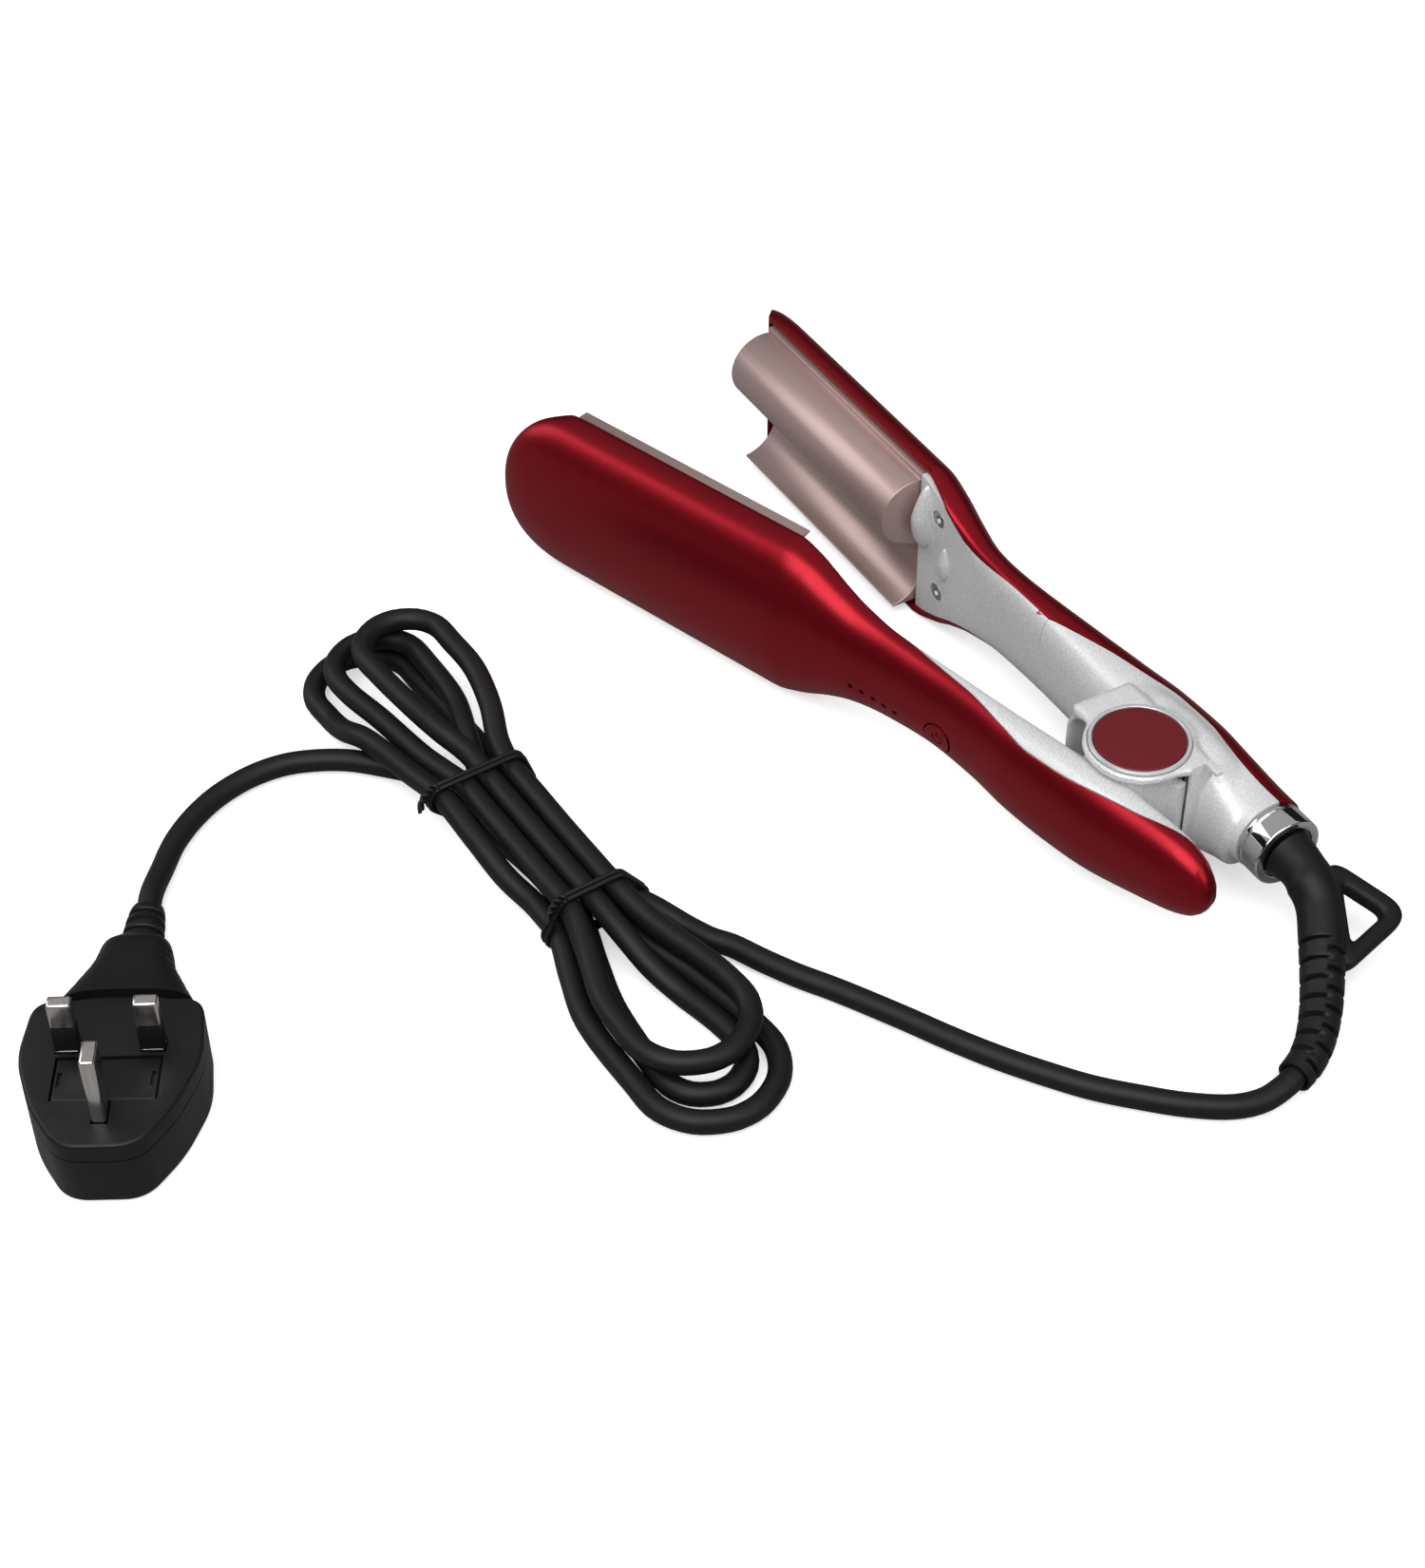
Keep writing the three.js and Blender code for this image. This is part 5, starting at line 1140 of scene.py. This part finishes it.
def plate_outline():
    """The plate's face as out and z: flange, barrel, trough and lip, in smooth arcs."""
    middle = PADDLE_HEIGHT / 2
    barrel = (BARREL_INSET, middle + BARREL_RISE)
    trough = (-BARREL_INSET, middle - BARREL_RISE)
    meet = math.atan2(trough[1] - barrel[1], trough[0] - barrel[0])
    start = math.pi / 2 - math.asin(0.2)
    turn = np.linspace(start, meet + 2 * math.pi, 49)
    points = [(PLATE_BACK, FLANGE_HEIGHT), (barrel[0] + BARREL_RADIUS * math.cos(start),
                                            FLANGE_HEIGHT)]
    points += [(barrel[0] + BARREL_RADIUS * math.cos(a), barrel[1] + BARREL_RADIUS * math.sin(a))
               for a in turn]
    inner = meet + math.pi
    turn = np.linspace(inner, -LIP_TURN, 49)[1:]
    points += [(trough[0] + TROUGH_RADIUS * math.cos(a), trough[1] + TROUGH_RADIUS * math.sin(a))
               for a in turn]
    points += [(points[-1][0] + 0.3, LIP_HEIGHT), (PLATE_BACK, LIP_HEIGHT)]
    return points


def wave_plate(side):
    outline = [(out, flip(z, side)) for out, z in plate_outline()]
    plate = along_prism("plate", outline, side, PLATE_START, PLATE_END)
    middle = flip(PADDLE_HEIGHT / 2 + BARREL_RISE, side)
    room = bar((PLATE_START + 2, side * BARREL_INSET, middle),
               (PLATE_END - 2, side * BARREL_INSET, middle), BARREL_RADIUS - BARREL_WALL)
    combine(room, arm_block((PLATE_START, -30, 0), (PLATE_END, PLATE_BACK + 1, 70), side),
            "INTERSECT")
    return bevel(cut(plate, room), EDGE, 3, 40)


# ---- strain relief, loop

SLOT_COUNT = 14
SLOT_DEPTH = 1.5
SLOTS_FROM, SLOTS_SPAN = 0.42, 0.53
BOOT_RADIUS, BOOT_BASE, BOOT_MOUTH = 6.5, 7.6, 4.9
STEM_RADIUS, FLANGE_RADIUS = 4, 6.5


def boot_radius(t):
    if t < 0.3:
        return BOOT_RADIUS + (BOOT_BASE - BOOT_RADIUS) * max(1 - t * 9, 0) ** 1.5
    return BOOT_RADIUS + (BOOT_MOUTH - BOOT_RADIUS) * ((t - 0.3) / 0.7) ** 1.4


def boot_body():
    """The bend relief: a tapering sleeve with half rings cut from its two sides in turn."""
    line = even(catmull(BOOT_POINTS), 0.4)
    sides = 48
    angles = circle(sides)

    def section(t):
        depth = np.zeros(sides)
        for k in range(SLOT_COUNT):
            place = SLOTS_FROM + SLOTS_SPAN * k / (SLOT_COUNT - 1)
            across = abs(t - place) * 0.5 * (len(line) - 1) * 0.8
            facing = (1 if k % 2 else -1) * np.cos(angles)
            shade = smoothstep(facing, -0.15, 0.15)
            depth += SLOT_DEPTH * (1 - smoothstep(across, 0.45, 0.8)) * shade
        knuckle = 1.5 * math.exp(-((t - 0.16) / 0.06) ** 2) * np.maximum(-np.cos(angles + 0.5), 0)
        reach = boot_radius(t) - np.minimum(depth, SLOT_DEPTH) + knuckle
        return np.stack([reach * np.cos(angles), reach * np.sin(angles)], axis=1)
    boot = surface("boot", carried(line, section))
    mouth = even(catmull([*BOOT_POINTS[-3:], LEAD_POINTS[0]]), 1.0)
    return cut(boot, surface("mouth", carried(mouth[len(mouth) // 2:],
                                              lambda t: ring(CORD_RADIUS + 2 * CLEARANCE, 32))))


LOOP_CORNERS = [(-49.4, -30, 20), (-69.8, -42.4, 11.5), (-77.6, -14.5, 10.8)]
LOOP_THICKNESS = 5.6


def triangle(corners, radius, share):
    """A triangle about its middle, scaled, with rounded corners."""
    corners = np.array(corners, float)
    middle = corners.mean(axis=0)
    corners = middle + (corners - middle) * share
    return rounded(corners, radius, 10, closed=True)


def hanger_loop():
    """The three-cornered hanging loop as a bar of rounded section round its hole."""
    outer = np.array(triangle(LOOP_CORNERS, 9, 1.17))
    inner = np.array(triangle(LOOP_CORNERS, 3, 0.54))
    a, b, c = (Vector(corner) for corner in LOOP_CORNERS)
    normal = np.array((c - a).cross(b - a).normalized())
    rows = []
    for angle in circle(28):
        share = 0.5 + 0.5 * signed_power(math.cos(angle), 0.7)
        rise = LOOP_THICKNESS / 2 * signed_power(math.sin(angle), 0.7)
        rows.append(inner + (outer - inner) * share + normal * rise)
    return surface("loop", [*rows, rows[0]], ends=False)


# ---- plug

PLUG_WIDTH, PLUG_LENGTH, PLUG_THICKNESS = 49, 51, 21.8
PIN_SPACING = 22.2
FACE_HEIGHT = 22
RELIEF_LENGTH = 17
RELIEF_GROOVES, GROOVE_DEPTH = (4.8, 8.6, 12.4), 1.6
GRIP_START = RELIEF_LENGTH + CLEARANCE
NECK_START = GRIP_START + 26
BODY_START = NECK_START + 6
PIN_LINE = BODY_START + 17
CARRIER_MIDDLE = PIN_LINE + 11
EARTH_LINE = PIN_LINE + PIN_SPACING
# The stepped neck: where each step begins, then its width, height and middle height.
NECK_STEPS = [(NECK_START + CLEARANCE, (24, 13, 10)), (NECK_START + 3, (31, 15, 11))]
SLEEVE_LENGTH = 9.2
SLEEVE_WALL = 0.6
# The pins: x, y, width and depth of the section, and how far each stands out of the face.
PINS = {"live": (PIN_LINE, -PIN_SPACING / 2, 6.35, 3.95, 17.7),
        "neutral": (PIN_LINE, PIN_SPACING / 2, 6.35, 3.95, 17.7),
        "earth": (EARTH_LINE, 0, 3.95, 8, 22.7)}


def plug_skin(name, rows, power, ripple=None):
    """Superellipse sections along the plug from x, width, height and middle height."""
    rows = np.array(rows, float)
    stations = np.linspace(rows[0, 0], rows[-1, 0], max(int((rows[-1, 0] - rows[0, 0]) / 0.35), 4))
    angles = circle(72)
    c, s = np.cos(angles), np.sin(angles)
    rings = []
    for x in stations:
        width, height, lift = (steady(rows[:, 0], rows[:, k], x) if len(rows) > 2
                               else np.interp(x, rows[:, 0], rows[:, k]) for k in (1, 2, 3))
        sunk = ripple(x, angles) if ripple else 0
        y = (width / 2 - sunk) * signed_power(c, 2 / power)
        z = lift + (height / 2 - sunk) * signed_power(s, 2 / power)
        rings.append(np.stack([np.full_like(y, x), y, z], axis=1))
    return surface(name, rings, place=plug_place)


def relief_ripple(x, angles):
    """Three deep grooves round the plug's bend relief."""
    return sum(GROOVE_DEPTH * (1 - smoothstep(abs(x - middle), 0.5, 0.95))
               for middle in RELIEF_GROOVES)


def grip_ripple(x, angles):
    """Slanting finger ribs on the two sides of the plug's grip."""
    side = smoothstep(np.abs(np.cos(angles)), 0.55, 0.85)
    wave = np.cos((x + 3 * np.sin(angles)) * 2 * np.pi / 3.4)
    within = smoothstep(x, GRIP_START + 4, GRIP_START + 7) * (
        1 - smoothstep(x, NECK_START - 5, NECK_START - 2))
    return 0.45 * side * smoothstep(-wave, 0.1, 0.7) * within


def plug_outline(corner):
    half, end = PLUG_WIDTH / 2, BODY_START + PLUG_LENGTH
    corners = [(BODY_START, -half + 2), (BODY_START + 20, -half), (end - 14, -half * 0.78),
               (end, -half * 0.42), (end, half * 0.42), (end - 14, half * 0.78),
               (BODY_START + 20, half), (BODY_START, half - 2)]
    return rounded(corners, corner, 8, closed=True)


def plug_slab(name, low, high, grow=0.0):
    middle = np.array([BODY_START + PLUG_LENGTH / 2, 0])
    outline = np.array(plug_outline(6))
    outline = middle + (outline - middle) * (1 + 2 * grow / PLUG_WIDTH)
    return prism(name, outline, low, high, plug_place)


def plug_box(low, high):
    return box(low, high, plug_place)


def pin_box(name, low, high, grow=0.0):
    x, y, width, depth, _ = PINS[name]
    return plug_box((x - depth / 2 - grow, y - width / 2 - grow, low),
                    (x + depth / 2 + grow, y + width / 2 + grow, high))


def plug_relief():
    relief = plug_skin("relief", [(0, 8.8, 8.8, PLUG_ENTRY), (2, 9.8, 9.8, 5.1),
                                  (RELIEF_LENGTH, 12.4, 11, 6.4)], 2.2, relief_ripple)
    return cut(relief, bar((-1, 0, PLUG_ENTRY), (3, 0, PLUG_ENTRY), CORD_RADIUS + CLEARANCE,
                           place=plug_place))


def plug_grip():
    return plug_skin("grip", [
        (GRIP_START, 15, 13.5, 7.2), (GRIP_START + 3, 19, 15.5, 8.2),
        (GRIP_START + 10, 22, 16.5, 8.9), (GRIP_START + 19, 30, 17.6, 9.5),
        (NECK_START, 37, 18.4, 10.1)], 3.2, grip_ripple)


def plug_body():
    """The shield-shaped body with its stepped neck, parting line, fuse bay and pin holes."""
    low = FACE_HEIGHT - PLUG_THICKNESS
    body = bevel(plug_slab("body", low, FACE_HEIGHT), 1.1, 4, 40)
    line = plug_slab("line", FACE_HEIGHT - 6.2, FACE_HEIGHT - 5.8, 2)
    cut(line, plug_slab("core", FACE_HEIGHT - 7, FACE_HEIGHT - 5, -0.5))
    cut(body, line)
    for way in (-1, 1):
        y = way * (PLUG_WIDTH / 2 - 0.6)
        cut(body, bevel(plug_box((BODY_START + 4, min(y, y + 3 * way), low + 5),
                                 (BODY_START + 24, max(y, y + 3 * way), FACE_HEIGHT - 9)), 0.3))
    union(body,
          *[plug_skin("step", [(start, *size), (BODY_START + 2, *size)], 6)
            for start, size in NECK_STEPS])
    cut(body, plug_box((CARRIER_MIDDLE - 7.5, -14, FACE_HEIGHT - 9),
                       (CARRIER_MIDDLE + 7.5, 14, FACE_HEIGHT + 2)))
    for name in PINS:
        cut(body, pin_box(name, FACE_HEIGHT - 9, FACE_HEIGHT + 2, CLEARANCE))
    return body


def fuse_carrier():
    """The fuse's tray with a pry slot at each end of its panel."""
    tray = bevel(plug_box((CARRIER_MIDDLE - 7.1, -13.6, FACE_HEIGHT - 8.6),
                          (CARRIER_MIDDLE + 7.1, 13.6, FACE_HEIGHT - 0.4)), 0.5, 3)
    for y in (-12.2, 12.2):
        cut(tray, plug_box((CARRIER_MIDDLE - 2.5, y - 0.6, FACE_HEIGHT - 1.4),
                           (CARRIER_MIDDLE + 2.5, y + 0.6, FACE_HEIGHT)))
    return tray


def plug_pin(name):
    return bevel(pin_box(name, FACE_HEIGHT - 8.8, FACE_HEIGHT + PINS[name][-1]), 0.7, 4, 60)


def sleeved_pin(name):
    """A current pin, waisted for its sleeve."""
    x, y = PINS[name][:2]
    neck = plug_box((x - 3.5, y - 4.5, FACE_HEIGHT),
                    (x + 3.5, y + 4.5, FACE_HEIGHT + SLEEVE_LENGTH + CLEARANCE))
    cut(neck, pin_box(name, 0, FACE_HEIGHT + SLEEVE_LENGTH + 9, -SLEEVE_WALL))
    return cut(plug_pin(name), neck)


def pin_sleeve(name):
    sleeve = pin_box(name, FACE_HEIGHT + 2 * CLEARANCE, FACE_HEIGHT + SLEEVE_LENGTH - CLEARANCE)
    cut(sleeve, pin_box(name, 0, FACE_HEIGHT + 20, CLEARANCE - SLEEVE_WALL))
    return bevel(sleeve, 0.2, 2, 60)


# ---- operators

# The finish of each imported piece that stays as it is: the parts inside and behind the shells.
KEPT_FINISH = {
    "heater_ceramic": ("fixed_heater", "moving_heater", "plug_fuse"),
    "mica_sheet": ("fixed_insulator", "moving_insulator"),
    "board_lacquer": ("control_board",),
    "bare_steel": ("thermal_fuse", "hinge_pin", "torsion_spring"),
    "plug_plastic": ("swivel_bush", "button_switch"),
}


class PieceOperator(bpy.types.Operator):
    """Models one piece or a group of like pieces of the crimper"""
    bl_options = {"REGISTER", "UNDO"}

    def execute(self, context):
        self.build()
        return {"FINISHED"}


class CRIMPER_OT_stage(PieceOperator):
    """Places the camera, the lights and the white floor"""
    bl_idname = "crimper.stage"
    bl_label = "Stage"

    def build(self):
        scene = bpy.context.scene
        scene.view_settings.view_transform = "Standard"
        add_camera()
        light_world()
        add_floor()
        add_dark_wall()
        add_softbox("overhead", (-0.35, 0.45, 1.3), (0.06, 0.08, 0), (1.3, 1.0), 12)
        add_softbox("side", (0.9, 0.75, 0.6), (0.08, 0.1, 0), (0.5, 0.9), 3)
        add_softbox("front", (-1.0, -0.3, 0.7), (0.05, 0.05, 0), (0.6, 0.5), 2.5)
        add_softbox("fill", (-0.5, 1.0, 0.9), (0.03, 0.06, 0), (0.7, 0.5), 4)


class CRIMPER_OT_kept(PieceOperator):
    """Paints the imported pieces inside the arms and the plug"""
    bl_idname = "crimper.kept"
    bl_label = "Inner pieces"

    def build(self):
        for name, pieces in KEPT_FINISH.items():
            for piece in pieces:
                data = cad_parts[piece].data
                data.materials.clear()
                data.materials.append(finish(name))


class CRIMPER_OT_shells(PieceOperator):
    """Models the two painted shells"""
    bl_idname = "crimper.shells"
    bl_label = "Shells"

    def build(self):
        for side, arm in ARMS.items():
            complete(bevel(arm_shell(side), EDGE, 2, 35), f"{arm}_paint_shell", 30, f"{arm}_arm",
                     "red_shell", "shell_paint", f"{arm}_shell", side=side)


class CRIMPER_OT_housings(PieceOperator):
    """Models the silver housings with the hinge's hood and knuckle"""
    bl_idname = "crimper.housings"
    bl_label = "Housings"

    def build(self):
        for side, make in ((FIXED, fixed_housing), (MOVING, moving_housing)):
            arm = ARMS[side]
            complete(make(), f"{arm}_silver_housing", 30, f"{arm}_arm", "silver_housing",
                     "silver_paint", f"{arm}_housing", side=side)


class CRIMPER_OT_plates(PieceOperator):
    """Models the two wave plates"""
    bl_idname = "crimper.plates"
    bl_label = "Wave plates"

    def build(self):
        for side, arm in ARMS.items():
            complete(wave_plate(side), f"{arm}_wave_plate", 40, f"{arm}_arm", "rose_plate",
                     f"{arm}_plate_coat", f"{arm}_plate", side=side)


class CRIMPER_OT_hinge(PieceOperator):
    """Models the chrome rings and red discs of the hinge"""
    bl_idname = "crimper.hinge"
    bl_label = "Hinge caps"

    def build(self):
        floor = UPPER_EAR + EAR_THICKNESS - CAP_RECESS + CLEARANCE
        inner = CAP_DISC + CLEARANCE
        ring_profile = rounded([(inner, 0), (CAP_RING, 0), (CAP_RING, CAP_RECESS + 0.5),
                                (inner, CAP_RECESS + 0.5)], 0.3, 5, closed=True)
        thick = CAP_RECESS + CAP_PROUD - CLEARANCE
        disc_profile = [(0.001, 0), (CAP_DISC, 0), *rounded(
            [(CAP_DISC, 0.2), (CAP_DISC, thick), (0.001, thick)], 0.5, 6)]
        for name, level, way in (("top", floor, 1), ("bottom", HINGE_HEIGHT - floor, -1)):
            for part, profile, slot, material in (
                    ("ring", [*ring_profile, ring_profile[0]], "mirror_chrome", "satin_ring"),
                    ("disc", disc_profile, "cap_disc", "disc_paint")):
                cap = turned(f"{name}_{part}", profile, (0, 0, level), (0, 0, way))
                complete(cap, f"hinge_{name}_{part}", 40, "fixed_arm", slot, material,
                         f"{name}_cap_{part}")


class CRIMPER_OT_collar(PieceOperator):
    """Models the mirror collar that the lead's swivel turns in"""
    bl_idname = "crimper.collar"
    bl_label = "Collar"

    def build(self):
        inner = SPIGOT_RADIUS + CLEARANCE
        front = CLEARANCE - COLLAR_LENGTH
        profile = rounded([
            (inner, front), (COLLAR_RADIUS, front), (COLLAR_RADIUS, front + 1.6),
            (COLLAR_RADIUS - 0.35, front + 1.75), (COLLAR_RADIUS - 0.35, front + 2.05),
            (COLLAR_RADIUS, front + 2.2), (COLLAR_RADIUS, 0), (BOOT_BASE + 0.6, 0),
            (BOOT_BASE + 0.6, -1.2), (inner, -1.2)],
            0.6, 6, closed=True)
        collar = turned("collar", [*profile, profile[0]], COLLAR_PLACE, (-1, 0, 0))
        complete(collar, "chrome_collar", 40, "fixed_arm", "mirror_chrome", "mirror_chrome",
                 "collar")


class CRIMPER_OT_boot(PieceOperator):
    """Models the slotted strain relief with its hanging loop"""
    bl_idname = "crimper.boot"
    bl_label = "Strain relief"

    def build(self):
        boot = boot_body()
        union(boot, hanger_loop(), collar_bar(-10, 2, STEM_RADIUS),
              collar_bar(-10, -8.4, FLANGE_RADIUS))
        complete(boot, "rubber_strain_relief", 40, "swivel", "soft_rubber", "lead_rubber",
                 "strain_relief")


class CRIMPER_OT_button(PieceOperator):
    """Models the power button with its engraved mark, and the five indicator lights"""
    bl_idname = "crimper.button"
    bl_label = "Controls"

    def build(self):
        x, z = BUTTON_PLACE
        near = [row for row in arm_rows(MOVING) if x - 25 < row[0] < x + 25]
        bottom, top = BUTTON_SPAN
        button = combine(arm_rod(x, z, bottom, top, BUTTON_RADIUS, MOVING, 96),
                         arm_skin("top", near, MOVING, -BUTTON_PROUD), "INTERSECT")
        bevel(button, EDGE, 3, 40)
        inner, outer = MARK_RING
        floor = bottom + 0.5
        mark = turned("mark", [(inner, floor), (outer, floor), (outer, top), (inner, top),
                               (inner, floor)], (x, 0, z), (0, 1, 0))
        cut(mark, arm_block((x - 0.8, 12, z + 0.6), (x + 0.8, 24, z + 3), MOVING))
        stroke = arm_block((x - MARK_STROKE, floor, z + 0.5),
                           (x + MARK_STROKE, top, z + 2.5), MOVING)
        for tool in (mark, stroke):
            cut(tool, arm_skin("floor", near, MOVING, MARK_DEPTH - BUTTON_PROUD))
            cut(button, tool)
        complete(button, "power_button_cap", 40, "button", "red_shell", "shell_paint",
                 "power_button", side=MOVING)
        for k, (a, b) in enumerate(LIGHTS, 1):
            light = arm_rod(a, b, 13, 15.4, LIGHT_RADIUS * 0.94, MOVING, 32)
            complete(light, f"light_{k}", 40, "moving_arm", "light_lens", "light_lens",
                     f"indicator_light_{k}", side=MOVING)


class CRIMPER_OT_screws(PieceOperator):
    """Models the four socket screws in the silver covers"""
    bl_idname = "crimper.screws"
    bl_label = "Screws"

    def build(self):
        for side, arm in ARMS.items():
            for (x, z), level in zip(SCREWS, ("upper", "lower")):
                head = bevel(arm_rod(x, z, COVER_FACE, COVER_FACE + 1, SCREW_HEAD, side), 0.25, 3)
                cut(head, arm_rod(x, z, COVER_FACE - 1, COVER_FACE + 0.6, 1.4, side, 6))
                union(head, arm_rod(x, z, COVER_FACE + 0.9, 12, 1.3, side, 24))
                complete(head, f"{arm}_socket_screw_{level}", 30, f"{arm}_arm", "bare_steel",
                         "bare_steel", f"{arm}_screw_{level}", side=side)


class CRIMPER_OT_plug(PieceOperator):
    """Models the three-pin plug with its grip, fuse carrier and sleeved pins"""
    bl_idname = "crimper.plug"
    bl_label = "Plug"

    def build(self):
        pieces = [("relief", plug_relief, "soft_rubber", "lead_rubber", "plug_relief"),
                  *((name, make, "plug_plastic", "plug_plastic", piece) for name, make, piece in (
                      ("grip", plug_grip, "plug_grip"), ("shield", plug_body, "plug_body"),
                      ("carrier", fuse_carrier, "fuse_carrier"))),
                  ("earth", lambda: plug_pin("earth"), "plated_pin", "pin_nickel", "pin_earth")]
        for way in ("live", "neutral"):
            pieces.append((way, lambda way=way: sleeved_pin(way), "plated_pin", "pin_nickel",
                           f"pin_{way}"))
            pieces.append((f"{way}_sleeve", lambda way=way: pin_sleeve(way), "plug_plastic",
                           "plug_plastic", f"sleeve_{way}"))
        for name, make, slot, material, piece in pieces:
            complete(make(), f"mains_{name}", 35, "fixed_arm", slot, material, piece)


class CRIMPER_OT_cord(PieceOperator):
    """Models the mains lead in one length, with its two wire ties"""
    bl_idname = "crimper.cord"
    bl_label = "Mains lead"

    def build(self):
        detail = bpy.context.scene.crimper_detail
        line = cord_line()
        section = ring(CORD_RADIUS, detail.cord_sides)
        lead = surface("lead", carried(line, lambda t: section))
        complete(lead, "mains_lead", 60, "fixed_arm", "soft_rubber", "lead_rubber", "cord_lead",
                 "cord_hank", "cord_tail")
        lead.parent = None
        ties = [self.tie(name, along) for name, along in (("tie_far", -TIE_SPAN),
                                                          ("tie_near", TIE_SPAN))]
        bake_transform(lead)

    def tie(self, name, along):
        """A wire tie: two turns round the strands, drawn together, with its ends twisted."""
        side = hank_place((along + 1, 0, 0)) - hank_place((along, 0, 0))
        pieces = []
        for shift in (-TIE_PITCH / 2, TIE_PITCH / 2):
            loop = tie_line(along) + side * shift
            ahead = np.roll(loop, -1, axis=0) - np.roll(loop, 1, axis=0)
            rings = []
            for point, way in zip(loop, ahead / np.linalg.norm(ahead, axis=1)[:, None]):
                up = np.cross(way, side)
                up /= np.linalg.norm(up)
                rings.append([point + TIE_STRAND * (math.cos(a) * side + math.sin(a) * up)
                              for a in circle(12)])
            pieces.append(surface(name, [*rings, rings[0]], ends=False))
        loop = tie_line(along)
        knot = loop[np.argmax(loop[:, 2] + 0.2 * loop[:, 1])]
        for phase in (0, math.pi):
            steps = np.linspace(0, 1, 40)
            twist = [knot + side * (0.9 * math.cos(phase + 14 * u) + 6 * u * u)
                     + np.array([0, 0, 0.9 * math.sin(phase + 14 * u) + 0.5])
                     - np.array([-side[1], side[0], 0]) * 9 * u for u in steps]
            pieces.append(surface("twist", carried(twist, lambda u: ring(TIE_END, 10))))
        return complete(joined(pieces), name.replace("tie", "wire_tie"), 60, "fixed_arm",
                        "wire_tie", "lead_rubber", name)


OPERATORS = (CRIMPER_OT_stage, CRIMPER_OT_kept, CRIMPER_OT_shells, CRIMPER_OT_housings,
             CRIMPER_OT_plates, CRIMPER_OT_hinge, CRIMPER_OT_collar, CRIMPER_OT_boot,
             CRIMPER_OT_button, CRIMPER_OT_screws, CRIMPER_OT_plug, CRIMPER_OT_cord)


class CRIMPER_PT_panel(bpy.types.Panel):
    """Lists the crimper's pieces and settings"""
    bl_label = "Hair Crimper"
    bl_idname = "CRIMPER_PT_panel"
    bl_space_type = "VIEW_3D"
    bl_region_type = "UI"
    bl_category = "Hair Crimper"

    def draw(self, context):
        for settings in (context.scene.crimper_finish, context.scene.crimper_detail):
            for key in settings.__annotations__:
                self.layout.prop(settings, key)
        for operator in OPERATORS:
            self.layout.operator(operator.bl_idname)


CLASSES = (FinishSettings, DetailSettings, *OPERATORS, CRIMPER_PT_panel)


def register():
    for cls in CLASSES:
        bpy.utils.register_class(cls)
    bpy.types.Scene.crimper_finish = bpy.props.PointerProperty(type=FinishSettings)
    bpy.types.Scene.crimper_detail = bpy.props.PointerProperty(type=DetailSettings)


def unregister():
    del bpy.types.Scene.crimper_detail
    del bpy.types.Scene.crimper_finish
    for cls in reversed(CLASSES):
        bpy.utils.unregister_class(cls)


def main():
    register()
    for operator in OPERATORS:
        group, name = operator.bl_idname.split(".")
        getattr(getattr(bpy.ops, group), name)()


if __name__ == "__main__":
    main()
